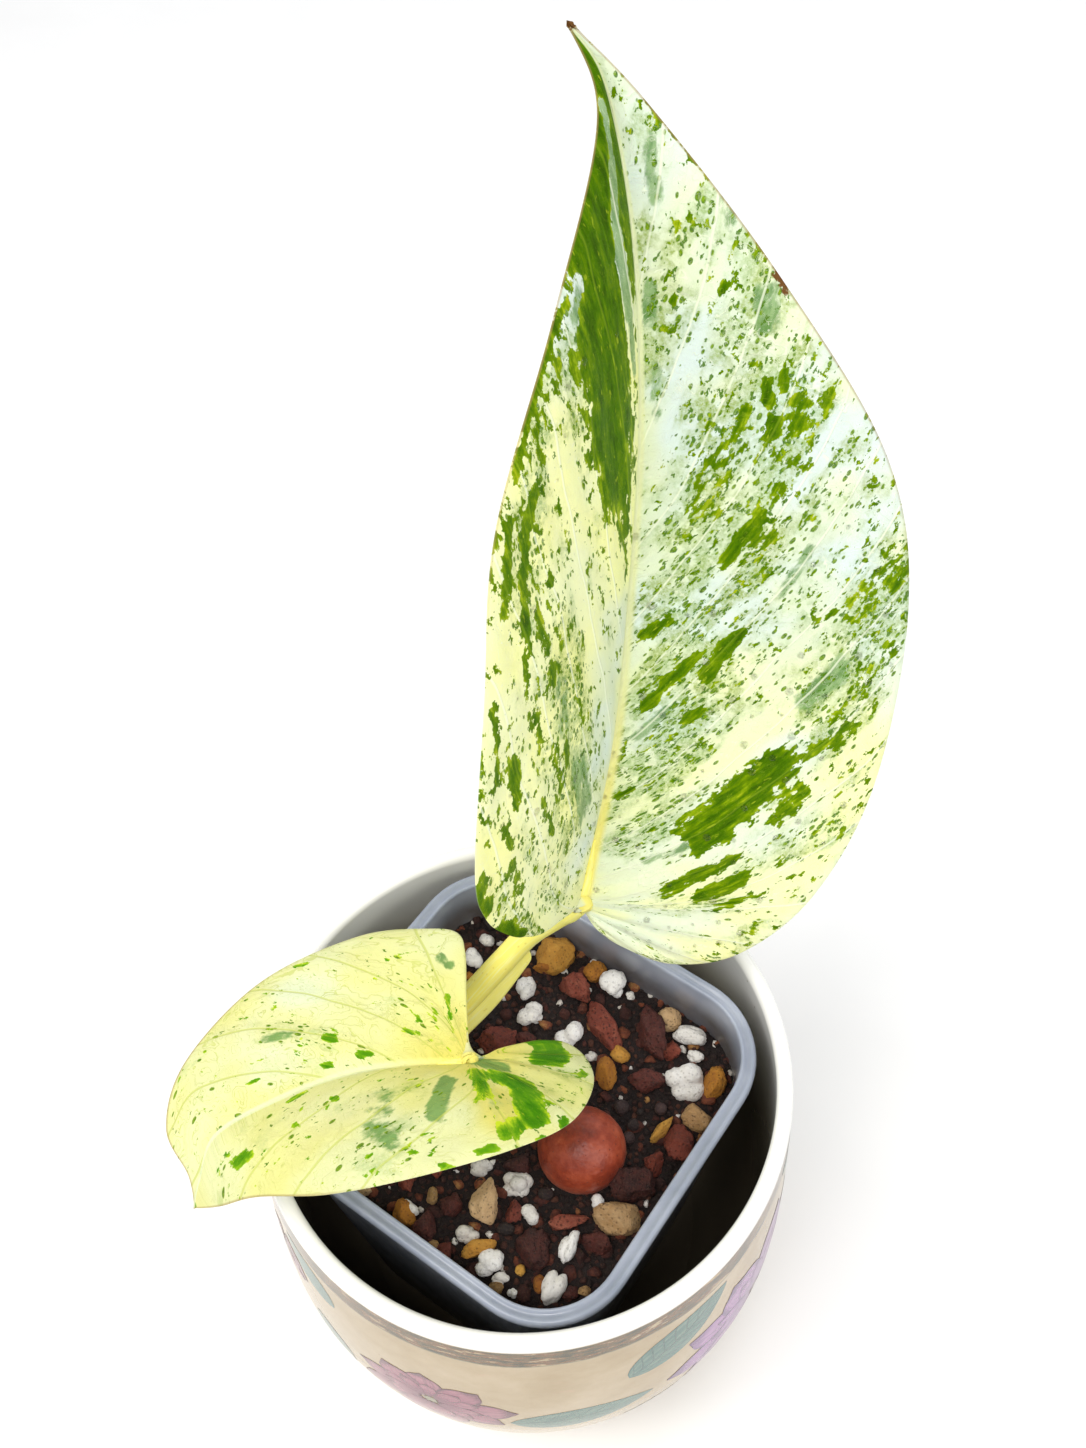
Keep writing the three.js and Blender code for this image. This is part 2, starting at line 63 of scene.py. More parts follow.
# Driving dimensions of the two pots, as in the solids
GAP = 0.3
POT_HEIGHT, POT_FOOT, POT_RIM, POT_LIP, POT_FLOOR = 86, 39, 50, 1.55, 5
POT_OUTSIDE = [(40.4, 1.2), (45.4, 9), (49.6, 20), (51.8, 34), (52.1, 46), (51.5, 61), (50.6, 75)]
POT_INSIDE = [(47.6, 72), (48.1, 50), (47.3, 32), (44.4, 18.5), (40.8, 10), (36.2, POT_FLOOR)]
PAINT_ROOM = 0.08  # the glaze lies this far inside the solid, so that the painting on it does too
NURSERY_SIDE, NURSERY_CORNER, NURSERY_TOP, FLANGE, WALL = 74, 16.9, 82, 3, 1
NURSERY_FOOT, NURSERY_FOOT_CORNER = 57, 13
NURSERY_PLACE, NURSERY_TURN = (-0.9, -0.2), math.radians(53.4)
NECK = NURSERY_SIDE - 2 * FLANGE + 2 * WALL
SOIL = 70
DRAIN_RADIUS, DRAIN_SPREAD = 4, 17
BALL_PLACE, BALL_RADIUS = (10.5, -11.3, 73), 8.4

# Driving dimensions of the plant
STEM_PATH, STEM_RADIUS = [(-18.5, 8.5, 40), (-18.6, 9.5, 58), (-18.4, 10.8, 70), (-17.6, 11.9, 75.5)], 2.9
ROOT_COUNT, ROOT_RADIUS, ROOT_LENGTH, ROOT_SPREAD = 5, 0.9, 26, 8
PETIOLE_LARGE = {
    "path": [(-18.2, 11.2, 71.5), (-16.6, 12.4, 77), (-9.9, 16.5, 82.5), (-3.3, 19.3, 91), (1.7, 20.9, 98),
             (6.8, 21.3, 103.5), (10.8, 20.9, 108.8)],
    "foot": 4.1, "waist": 2.6, "top": 2.2,
}
PETIOLE_SMALL = {
    "path": [(-18.2, 10.4, 70.5), (-17.9, 8.2, 75), (-15.9, 4.6, 83), (-12.8, -0.4, 92), (-10.1, -4.6, 98.6)],
    "foot": 3.4, "waist": 1.8, "top": 1.6,
}
SHEATH = {"reach": 5.6, "thick": 0.6, "from": 0.05, "to": 0.66, "lean": (0.62, -0.55, -0.56)}
LEAF_LARGE = {
    "base": (11.5, 20.5, 110), "tip": (13.5, 86, 240), "facing": (0.18, -0.87, 0.45), "length": 144.5,
    "midrib": [(0, 0, 0), (29.5, 6.5, -2.5), (58.5, 9.5, -4), (87, 10.5, -3), (115, 8.5, -1), (136, 4, 0),
               (144.5, -1.5, 0.5)],
    "right": [(-5.5, 3, 0.5), (-8.5, 7, 3), (-12.5, 16.5, 5), (-10, 28.5, 7.5), (1, 41.5, 8), (21.5, 52, 6),
              (53.5, 56, 4), (80.5, 49.5, 4.5), (110, 29.5, 4.5), (134, 9.5, 2.5)],
    "left": [(2.5, -3.5, 2.5), (4.5, -9, 11), (6, -13, 16.5), (10.5, -17, 22), (18.5, -21.5, 28.5),
             (30, -23.5, 33), (57, -21, 31.5), (81, -18, 27), (107, -7, 14.5), (131.5, 2, 3)],
    "arch": 0.04, "keel": 1.5, "rib": (2.5, 0.55),
}
LEAF_SMALL = {
    "base": (-9, -5.5, 101), "tip": (-57, -27, 92.5), "facing": (-0.2, 0.13, 0.97), "length": 53,
    "midrib": [(0, 0, 0), (9.5, 3.5, 3), (19.5, 6, 5.5), (31, 6.5, 7.5), (43.5, 5.2, 8.6), (49.4, 0.7, 5.2),
               (53, -0.3, 0.2)],
    "right": [(-0.5, 1.5, 0), (-3, 9, 1), (-6, 17.5, 1), (-8.5, 25.5, 1), (-3.5, 29.5, 2.5), (9, 33.5, 5),
              (28, 31.8, 8), (44.3, 21, 11), (51.2, 10.5, 10), (50.9, 2.4, 5.6)],
    "left": [(-1, -0.5, 0), (-7, -0.5, -3.5), (-15, 0.5, -7), (-18.5, -5, -7), (-17.5, -14.2, -2.5),
             (-10.8, -22.3, 3.5), (0.3, -24.4, 8.5), (16.1, -21.6, 10.5), (29.4, -16.3, 9.5),
             (40.6, -8.6, 6.6), (47.6, -4.6, 3.3)],
    "arch": 0.05, "keel": 1, "rib": (1.9, 0.4),
}
FAN, LAG = 0.36, 1.35  # the share of a margin whose veins start at the petiole, and how the rest lag behind
BLADE_THICK, VEIN_PITCH = 0.5, 9.0
VEIN_EDGE = {"large": 38, "small": 20}  # how far out from the midrib the side veins are told apart
VEIN_PLACES = [0, 3, 12, 25, 45, 68, 95, 140]  # distances along the large blade from the petiole
VEIN_LEANS = [0, 0.4, 0.7, 1, 1.3, 1.6, 3, 4]  # how far the side veins there run on for each mm outwards

# Stones on top of the mix, by kind, as (x, y, length, width, turn in degrees)
STONES = {
    "perlite": [
        (-7, 35, 4, 3.5, 0), (-10, 30.5, 4.5, 4, 90), (0.5, 23, 5.5, 4, 70), (1.5, 17, 6, 5, 60),
        (18.5, 23.5, 6, 5.5, 0), (32.5, 12, 7.5, 4, -20), (9, 12.5, 6.5, 6, 90), (13, 8, 3, 2.5, 0),
        (33.5, 7.5, 3.5, 2.5, -30), (31, 2, 8, 7, 0), (-8.5, -13.5, 4.5, 3, 0), (-2, -17, 6.5, 5, 0),
        (13.5, -20.5, 3.5, 3, 20), (-22, -21, 4, 3, -45), (0.5, -22.5, 4, 3.5, -30), (-11, -26, 4.5, 3.5, 0),
        (-7, -31, 5.5, 5, 0), (7.5, -28.5, 6.5, 3.5, 65), (-5, -34, 3.5, 2.5, 0), (4.5, -35.5, 7, 4.5, 60)],
    "ochre": [
        (7.5, 31.5, 8.5, 8, 0), (4.5, 28, 5, 2.5, 0), (16, 28.5, 5.5, 5, 0), (16, 4, 7, 4.5, 90),
        (38, 1.5, 7.5, 5, 60), (-11, 26.5, 3, 2, 0), (-24, -23.5, 6.5, 4.5, -50), (-9, -28.5, 7, 3.5, 25),
        (2, -35, 3.5, 2.5, 90), (26, -7, 7, 2.5, 45)],
    "tan": [
        (30, 16.5, 5.5, 5, -30), (33.5, -5.5, 6.5, 6, 0), (16.5, -24, 9.5, 6.5, -10),
        (-8, -20.5, 9.5, 5.5, 80), (-17.5, -18.5, 3.5, 2.5, 90), (-6, -35.5, 3, 2.5, 0), (10, -36.5, 2.5, 2, 0)],
    "lava": [
        (10, 23.5, 9, 7, -20), (16, 13.5, 13.5, 5.5, -58), (25, 12, 12, 6.5, -75), (-5.5, 11.5, 8.5, 6.5, 0),
        (0.5, 12.5, 4.5, 3, 0), (23.5, 2.5, 7.5, 6, 0), (29, 9, 4.5, 4, 0), (29, -10.5, 8.5, 6.5, 80),
        (24, -13.5, 6, 4, 70), (-1.5, -13.5, 6, 5.5, 0), (19.5, -17.5, 9.5, 8, -20), (-2.5, -22, 5, 3.5, 80),
        (7, -24, 9, 4, 0), (0.5, -28.5, 8.5, 7, 90), (13, -28.5, 7, 4.5, -10), (7.5, -37, 3.5, 3, 0),
        (-19, -24, 7.5, 5, 80), (-13.5, -20.5, 5.5, 5, 0)],
    "grain": [
        (18.5, -2.5, 3, 3, 0), (26, -3, 2.5, 2.5, 0), (20.5, -6, 2.5, 2.5, 0), (3.5, -19, 3, 2.5, 0)],
}
FILL_TRIES, FILL_SEED, FILL_SMALL, FILL_LARGE = 200, 11, 3.8, 7.5
FILL_ROOM = 0.86  # the least distance between two stones, as a share of their radii
FILL_KINDS = ["lava", "lava", "lava", "ochre", "lava", "grain", "tan", "lava", "perlite", "lava"]
SHOWN_TINY = {
    "perlite": [(21.5, 21, 2, 2, 0), (-3, -36.5, 2, 2, 0)],
    "ochre": [(-1.5, -32.5, 2.5, 2, 90)],
    "tan": [(-17.5, -27.5, 2.5, 2.5, 0)],
    "grain": [(22, -3.5, 1.5, 1.5, 0), (19.5, -8.5, 2.5, 2.5, 0), (-4, -25, 3.5, 2.5, 0)],
}

# Variegation, as marks (x1, d1, x2, d2, width, strength): x is along the blade from the petiole, and d is the
# distance out from the midrib, both with the blade laid flat
DARK = {
    ("large", "right"): [
        (14, 18.5, 21.5, 24.5, 8, 1.1), (21.5, 24.5, 26.5, 28.5, 7.5, 1.1), (28, 33, 33, 40.5, 2.4, 0.8),
        (17.5, 31.5, 21.5, 34, 4, 0.75), (4, 15, 9.5, 24.5, 3.4, 0.9), (2.5, 21, 5.5, 27.5, 3.2, 0.95),
        (0, 24.5, 3, 32.5, 1.8, 0.7), (5, 35, 5.5, 38.5, 1.6, 0.8), (43.5, 14, 50.5, 18.5, 3, 1),
        (38, 5, 43.5, 9, 2.2, 0.95), (44, 9.5, 47, 12, 2, 0.8), (63.5, 15, 71.5, 20, 2.2, 1),
        (50.5, 3, 53, 6.5, 2.6, 0.65), (38, 30, 42, 32.5, 2.2, 0.9), (52, 30.5, 54.5, 35, 1, 0.8),
        (54.5, 37.5, 63, 45, 6, 0.45), (35, 11.5, 37, 14, 1.5, 0.85), (20.5, 2.5, 22.5, 4.5, 1.2, 0.8),
        (26, 1, 32, 2.5, 1.2, 0.75), (92.5, 22, 95.5, 22, 1.3, 0.95), (90.5, 19.5, 93, 19.5, 1.6, 0.95),
        (88, 16, 89, 16.5, 2, 0.9), (85, 20.5, 87.5, 21, 2.4, 0.95), (86, 24.5, 91, 24.5, 4, 0.6),
        (89.5, 28.5, 91.5, 29, 2, 0.8), (107, 12.5, 108.5, 13, 1.6, 0.85), (104, 10.5, 106.5, 10.5, 1.4, 0.7),
        (105.5, 5.5, 107, 5.5, 1.1, 0.85), (134, 5.5, 125, 11, 1, 0.8), (65, 18, 78, 24, 9, 0.42),
        (72, 10, 84, 14, 7, 0.36), (36, 36, 46, 44, 5, 0.34)],
    ("large", "left"): [
        (142, 1, 118, 9, 17, 1.3), (118, 8, 105, 11.5, 16, 1.25), (105, 11.5, 88, 10.5, 14, 1.2),
        (88, 10, 79, 8, 11, 1.1), (79, 7.5, 70, 5.5, 6.5, 0.9), (66, 4.5, 62, 3.5, 2.5, 0.75),
        (108, 21, 103, 25.5, 1.4, 0.95), (103, 25.5, 96, 31, 1.6, 0.95), (96, 31, 87, 36.5, 1.4, 0.9),
        (66, 33.5, 53, 28.5, 3, 0.85), (70, 37, 55, 36.5, 2.2, 0.85),
        (45, 39, 37, 37, 2.6, 1.05), (57, 44.7, 43, 43, 2.2, 0.9), (57.5, 45.5, 52, 45, 2, 0.6),
        (84, 33, 72, 36.5, 2.4, 0.85), (82, 38.5, 68, 42, 2.2, 0.8), (26, 45.5, 20, 40, 3, 0.95),
        (14.5, 34.5, 8, 25.5, 2.6, 1), (45.5, 24.2, 37, 22, 2, 0.9), (24, 15, 18, 11, 2, 0.6),
        (42.5, 27.8, 33, 23, 1.6, 0.75), (52.6, 34.9, 43.5, 30.6, 1.8, 0.75), (29, 44.2, 24, 43.2, 2.4, 0.85),
        (27, 37.3, 19.5, 31.4, 2.8, 0.85), (36, 41, 30, 38, 2, 0.75), (34, 30, 27, 25, 2, 0.7),
        (72, 30, 60, 34, 7, 0.36), (97, 28, 84, 33, 4, 0.42), (20, 34, 14, 28, 5, 0.42)],
    ("small", "right"): [
        (21, 7.5, 19.5, 7, 1.6, 0.95), (16.5, 3, 15, 3, 1.5, 0.95), (23, 2.5, 21.5, 2.5, 1.3, 0.9),
        (8, 6.5, 6, 6, 1.3, 0.9), (21, 25, 19, 25, 1, 0.8), (34, 8, 32, 8, 0.9, 0.8),
        (36, 4.5, 34, 4.5, 0.8, 0.8), (-1.5, 13.5, 0.5, 6, 0.9, 0.6), (1.5, 12, 2.5, 7, 0.8, 0.5),
        (5.5, 11, 4.5, 8.5, 0.9, 0.65)],
    ("small", "left"): [
        (-10.8, 5.4, -14.3, 7.1, 2.6, 1.6), (-0.3, 5.5, 0.2, 13.5, 2.4, 1.2), (-3, 6.5, -6, 12.5, 3.4, 1.3),
        (-6, 12.5, -5.8, 20.5, 4, 1.35), (-5.8, 20.5, -0.5, 22.5, 3, 1.1), (5, 25.5, 2, 25, 1.7, 0.95),
        (10.5, 27, 9.5, 27.5, 1.7, 0.85), (14.5, 22.5, 14, 23, 1.5, 0.8), (14, 8.5, 16.5, 15.5, 1.3, 0.9),
        (23.3, 6.3, 22.7, 6.9, 1.2, 0.85), (30, 2, 27, 1.5, 1.3, 0.95), (31, 8.5, 30, 8.5, 1.3, 0.85),
        (42, 7.5, 39, 8.5, 1.9, 0.95), (43, 4.5, 42.5, 5, 1.1, 0.8), (-10, 22, -9.5, 23, 1.7, 0.8),
        (-5.5, 24.5, -5, 25, 1.6, 0.8), (-16.5, 11, -16, 12, 1.5, 0.8)],
}
MILKY = {
    ("large", "right"): [
        (38.5, 32, 44, 36.5, 4.6, 0.9), (32, 3.5, 37, 8, 2.4, 0.75), (58, 25, 66, 28.5, 2.2, 0.7),
        (9, 10, 11.5, 16, 2.6, 0.6), (102.5, 1.8, 108.5, 2.2, 2.6, 0.75), (102.5, 19, 107, 19.5, 4, 0.8),
        (117, 14, 121.5, 14.5, 2.5, 0.6), (121, 4, 129, 4.5, 3, 0.65), (88, 2.5, 97, 2.5, 2, 0.55)],
    ("large", "left"): [
        (134, 2.4, 126, 3.7, 1.5, 0.97), (126, 3.7, 118, 5.4, 2.3, 0.97), (118, 5.4, 113, 5, 2.8, 1),
        (113, 5, 104, 3.6, 2.4, 1), (104, 3.6, 96, 2.6, 1.8, 0.9), (111, 16, 104, 20.5, 2.6, 0.55),
        (34, 18, 24, 12, 6, 0.75), (52, 26, 44, 24, 4, 0.6)],
    ("small", "right"): [(30.5, 11.5, 26, 10.5, 2, 0.8), (-3.5, 21.5, -4, 19, 2.2, 0.7)],
    ("small", "left"): [
        (4.5, 8, 8.5, 17, 3, 1), (-1, 1, -4.5, 6, 3, 0.95), (17, 21, 15.5, 18.5, 3, 0.75),
        (15, 10, 19, 18, 5, 0.5)],
}
HAZE = {
    ("large", "right"): [
        (18, 5, 60, 14, 22, 0.72), (56, 12, 88, 20, 26, 0.68), (90, 18, 118, 14, 18, 0.55),
        (94, 3, 130, 5, 8, 0.6), (36, 36, 62, 46, 16, 0.66), (0, 25, 14, 42, 12, 0.4)],
    ("large", "left"): [
        (104, 18, 90, 25, 9, 0.66), (96, 30, 56, 38, 10, 0.55), (60, 28, 26, 16, 14, 0.62),
        (22, 34, 8, 20, 14, 0.5)],
    ("small", "right"): [(30, 12, 20, 8, 6, 0.3)],
    ("small", "left"): [(-14, 14, 0, 26, 8, 0.25), (12, 10, 20, 20, 9, 0.4)],
}
BASE_SHARES = {  # the least dark share, how much more the margin has, and the least haze
    ("large", "right"): (0.06, 0.16, 0.26), ("large", "left"): (0.2, 0.16, 0.16),
    ("small", "right"): (-0.04, 0.06, 0.06), ("small", "left"): (0.0, 0.06, 0.1),
}
CREAM = {  # marks that make a blade less cream or more so, with how much
    ("large", "left"): [(-0.4, (50, 8, 18, 8, 14, 1))],
    ("small", "right"): [(-0.3, (30, 12, 24, 18, 14, 1))],
    ("small", "left"): [(-0.3, (18, 12, 26, 6, 8, 0.7)), (0.4, (-1.5, 14.5, -1, 19.5, 6.5, 1))],
}
SCARS = {("large", "right"): [(112.5, 20.5, 107.5, 22, 1.4, 1), (110.5, 22.5, 109, 19, 0.9, 0.9)]}

# Painted sprays round the glazed pot, as (degrees round from the front, height, ...)
SPRAYS = 2
ROSE_BLOOM = {"at": (-22, 46), "radius": 16.5, "petals": (9, 12), "turn": 12}
LILAC_BLOOM = {"at": (57, 42), "radius": 25, "petals": (10, 14), "turn": 0}
BUD = {"at": (118, 62), "radius": 7.5, "petals": (3, 5), "turn": 40}
PAINTED_LEAVES = [
    (20, 58, 36, 27, 13.5), (-5, 41, 3, 28, 12.5), (20, 26, -22, 22, 11), (90, 68, 158, 21, 10),
    (98, 34, -30, 26, 12), (-52, 30, 200, 22, 11), (-44, 66, 148, 17, 9), (128, 48, -60, 17, 9),
    (106, 58, 20, 14, 8)]
BAND = (76.6, 83.4)  # heights between which the mottled band runs below the lip
INSIDE_FROM = 0.604  # the share of the pot's profile, from its foot on, at which its inside starts
POT_TURNS = 220  # steps round the pot

# The camera's place, pitch below the horizon and roll, with its focal length and picture height in pixels
CAMERA_PLACE = (5.7, -114.5, 347.2)
CAMERA_PITCH, CAMERA_ROLL = math.radians(53.5), math.radians(-1.8)
FOCAL_PIXELS, PICTURE_PIXELS, SENSOR = 1500, 1448, 36
LIT = Vector((0, 0.02, 0.1))  # the lamps point here


# Numbers and curves
def unit(vector):
    vector = np.asarray(vector, float)
    return vector / np.linalg.norm(vector)


def mix(low, high, t):
    return low + (high - low) * t


def fade(value, low, high):
    """0 below low, 1 above high, and a smooth step between them"""
    t = np.clip((value - low) / (high - low), 0, 1)
    return t * t * (3 - 2 * t)


def dice(seed):
    """A repeatable source of numbers from 0 to 1, the same as the solids use"""
    state = seed
    while True:
        state = state * 16807 % 2147483647
        yield state / 2147483647


def curve(points, ts, ghosts=True):
    """Points of a Catmull-Rom curve through the given ones, at parameters from 0 to 1"""
    p = np.asarray(points, float)
    before, after = (2 * p[0] - p[1], 2 * p[-1] - p[-2]) if ghosts else (p[0], p[-1])
    p = np.vstack([before, p, after])
    place = np.clip(np.asarray(ts, float), 0, 1) * (len(p) - 3)
    n = np.minimum(place.astype(int), len(p) - 4)
    t = (place - n)[:, None]
    a, b, c, d = (p[n + i] for i in range(4))
    return 0.5 * (2 * b + (c - a) * t + (2 * a - 5 * b + 4 * c - d) * t**2 + (3 * b - a - 3 * c + d) * t**3)


def even(points, count):
    """The same number of points, spread evenly along the curve through them"""
    fine = curve(points, np.linspace(0, 1, 400))
    run = np.r_[0, np.cumsum(np.linalg.norm(np.diff(fine, axis=0), axis=1))]
    at = np.linspace(0, run[-1], count)
    return np.stack([np.interp(at, run, fine[:, axis]) for axis in range(fine.shape[1])], axis=1)


def fractal(point, scale, seed=0, octaves=3):
    apart = Vector((seed * 7.3, seed * 3.1, seed * 1.7))
    return noise.fractal(Vector(point) / scale + apart, 0.6, 2.1, octaves)


# Meshes
def grid_faces(rows, columns, start=0, closed=False):
    """Quads over a grid of points, row after row; closed joins the end of each row to its start"""
    here = np.arange(rows * columns).reshape(rows, columns) + start
    beside = np.roll(here, -1, axis=1)
    if not closed:
        here, beside = here[:, :-1], beside[:, :-1]
    return np.stack([here[:-1], beside[:-1], beside[1:], here[1:]], axis=-1).reshape(-1, 4).tolist()


def loft(loops):
    """A closed skin over loops of equal length, with a fan over the first and the last"""
    loops = np.asarray(loops, float)
    rows, columns = loops.shape[:2]
    points = np.vstack([loops.reshape(-1, 3), loops[0].mean(0), loops[-1].mean(0)])
    faces = grid_faces(rows, columns, closed=True)
    low, last = rows * columns, (rows - 1) * columns
    for j in range(columns):
        beside = (j + 1) % columns
        faces += [[low, beside, j], [low + 1, last + j, last + beside]]
    return points, faces


def rounded_square(side, corner, height, steps=14):
    angles = np.concatenate([np.linspace(q, q + 1, steps + 1) for q in range(4)]) * math.pi / 2
    centre = side / 2 - corner
    signs = np.repeat([(1, 1), (-1, 1), (-1, -1), (1, -1)], steps + 1, axis=0)
    flat = signs * centre + corner * np.stack([np.cos(angles), np.sin(angles)], axis=1)
    return np.column_stack([flat, np.full(len(flat), height)])


def place_square(points):
    """Turns points from the square pot's frame into the part's"""
    points = np.array(points, float)
    x, y = points[..., 0].copy(), points[..., 1].copy()
    points[..., 0] = NURSERY_PLACE[0] + x * math.cos(NURSERY_TURN) - y * math.sin(NURSERY_TURN)
    points[..., 1] = NURSERY_PLACE[1] + x * math.sin(NURSERY_TURN) + y * math.cos(NURSERY_TURN)
    return points


def into_square(x, y):
    dx, dy = x - NURSERY_PLACE[0], y - NURSERY_PLACE[1]
    c, s = math.cos(NURSERY_TURN), math.sin(NURSERY_TURN)
    return dx * c + dy * s, dy * c - dx * s


def joined(shapes):
    """Several (points, faces) as one"""
    points, faces, start = [], [], 0
    for some, corners in shapes:
        points.append(np.asarray(some, float))
        faces += [[n + start for n in face] for face in corners]
        start += len(some)
    return np.vstack(points), faces


def show(name, data):
    """A new object in the scene, from its data"""
    made = bpy.data.objects.new(name, data)
    bpy.context.scene.collection.objects.link(made)
    return made


def mesh_of(name, points, faces, edges=(), scale=MM):
    mesh = bpy.data.meshes.new(name)
    mesh.from_pydata((np.asarray(points) * scale).tolist(), list(edges), faces)
    return mesh


def note(mesh, key, values):
    """Stores a number, a vector or a colour at each point of a mesh"""
    values = np.asarray(values, float)
    kind, field = {1: ("FLOAT", "value"), 3: ("FLOAT_VECTOR", "vector"), 4: ("FLOAT_COLOR", "color")}[
        values.size // len(values)]
    mesh.attributes.new(key, kind, "POINT").data.foreach_set(field, values.ravel())


def mended(mesh, closed=True, slivers=False):
    """Merges a mesh's doubles, turns its faces outwards where it is closed, and shades it smooth"""
    work = bmesh.new()
    work.from_mesh(mesh)
    bmesh.ops.remove_doubles(work, verts=work.verts, dist=MERGE)
    if slivers:
        bmesh.ops.dissolve_degenerate(work, edges=work.edges, dist=MERGE)
    if closed:
        bmesh.ops.recalc_face_normals(work, faces=work.faces)
    for face in work.faces:
        face.smooth = True
    work.to_mesh(mesh)
    work.free()
    return mesh


def evaluated(worker):
    """The plain mesh that a worker's modifiers make; the worker then goes"""
    graph = bpy.context.evaluated_depsgraph_get()
    mesh = bpy.data.meshes.new_from_object(
        worker.evaluated_get(graph), preserve_all_data_layers=True, depsgraph=graph)
    bpy.data.objects.remove(worker)
    return mesh


def pierced(name, shape, drill):
    """A mesh of one shape with another taken out of it"""
    blank, bit = (show(name, mended(mesh_of(name, *one))) for one in (shape, drill))
    cut = blank.modifiers.new("holes", "BOOLEAN")
    cut.operation, cut.object, cut.solver = "DIFFERENCE", bit, "EXACT"
    mesh = evaluated(blank)
    bpy.data.objects.remove(bit)
    return mesh


def enlist(name, mesh, replaces=()):
    """One object on the part's one body, from its finished mesh"""
    made = show(name, mesh)
    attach(made, BODY)
    if replaces:
        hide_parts(*replaces)


def piece(name, shape, material, replaces=(), data=None, closed=True):
    """One object from a shape in millimetres, with its values at each point"""
    mesh = mesh_of(name, *shape)
    for key, values in (data or {}).items():
        note(mesh, key, values)
    mesh.materials.append(material)
    enlist(name, mended(mesh, closed, slivers=True), replaces)


# Node trees
def srgb(code):
    """A colour written as sRGB hex, turned to linear light"""
    channels = [int(code[i:i + 2], 16) / 255 for i in (1, 3, 5)]
    return tuple(c / 12.92 if c <= 0.04045 else ((c + 0.055) / 1.055) ** 2.4 for c in channels) + (1,)


class Value:
    """A node's output, which adds, multiplies and compares as a number does, and leads on to other nodes"""

    def __init__(self, socket):
        self.socket = socket

    def __getitem__(self, output):
        return Value(self.socket.node.outputs[output])

    def to(self, kind, *values, **settings):
        """Adds a node with this value in its first socket"""
        return add(self.socket.id_data, kind, self, *values, **settings)

    def above(self, low, high):
        """0 below low and 1 above high, with a smooth step"""
        return self.to("MapRange", low, high, interpolation_type="SMOOTHSTEP")


def sign(operation):
    """What a sign between two values does: it adds a node that works it out"""
    return lambda value, *others: value.to("Math", *others, operation=operation)


# The signs that stand between values, where | gives the larger of the two
for method, operation in {"__add__": "ADD", "__sub__": "SUBTRACT", "__mul__": "MULTIPLY",
                          "__gt__": "GREATER_THAN", "__or__": "MAXIMUM", "__abs__": "ABSOLUTE"}.items():
    setattr(Value, method, sign(operation))


def fill(node, sockets):
    """Sets or links sockets, by place or by name with _ for a space; a colour is written as sRGB hex"""
    for key, value in sockets.items():
        socket = node.inputs[key if isinstance(key, int) else key.replace("_", " ")]
        if isinstance(value, Value):
            node.id_data.links.new(value.socket, socket)
        elif value is not None:
            socket.default_value = srgb(value) if str(value).startswith("#") else value


def add(tree, kind, *values, stops=(), **settings):
    """Adds a node with its first sockets in turn, other sockets by name, its own settings, whose names start
    with a small letter, and the stops of its ramp"""
    node = tree.nodes.new(kind if "Node" in kind else "ShaderNode" + kind)
    named = {key: value for key, value in settings.items() if key[0].isupper()}
    for key, value in settings.items():
        if key not in named:
            setattr(node, key, value)
    fill(node, {**dict(enumerate(values)), **named})
    if stops:
        ramp = node.color_ramp.elements
        while len(ramp) < len(stops):
            ramp.new(1)
        for element, (place, colour) in zip(ramp, stops):
            element.position, element.color = place, srgb(colour)
    return Value(node.outputs[0]) if node.outputs else None


UNDER, MIXED = 6, 2  # a colour mix node's socket for the lower colour, and its output


def coats(colour, *layers):
    """A colour with layers over it, each of them a share and a colour"""
    for share, over in layers:
        colour = share.to("Mix", *[None] * (UNDER - 1), colour, over, data_type="RGBA")[MIXED]
    return colour


def millimetres(tree, scale=(1, 1, 1)):
    """The part's own coordinates, counted in millimetres and stretched where a pattern needs it"""
    return add(tree, "TexCoord")["Object"].to("Mapping", Scale=[s / MM for s in scale])


def grown(source, across, along, detail=4, roughness=0.55, shift=0.0):
    """Noise drawn out along the grain of an attribute, with features per millimetre across and along it"""
    place = source.to("Mapping", (shift, shift, 0), Scale=(across, along, 1))
    return place.to("TexNoise", Scale=1.0, Detail=detail, Roughness=roughness)


def finish(paint):
    """Makes a material from a function that works out its shader's sockets; relief stands for a height from 0
    to 1, a strength and a depth in millimetres"""
    def make(name=paint.__name__, *details, **more):
        material = bpy.data.materials.new(name)
        material.use_nodes = True
        tree = material.node_tree
        look = paint(tree, *details, **more)
        if "relief" in look:
            height, strength, depth = look.pop("relief")
            look["Normal"] = add(tree, "Bump", strength, depth * MM, Height=height)
        fill(tree.nodes["Principled BSDF"], look)
        return material
    return make


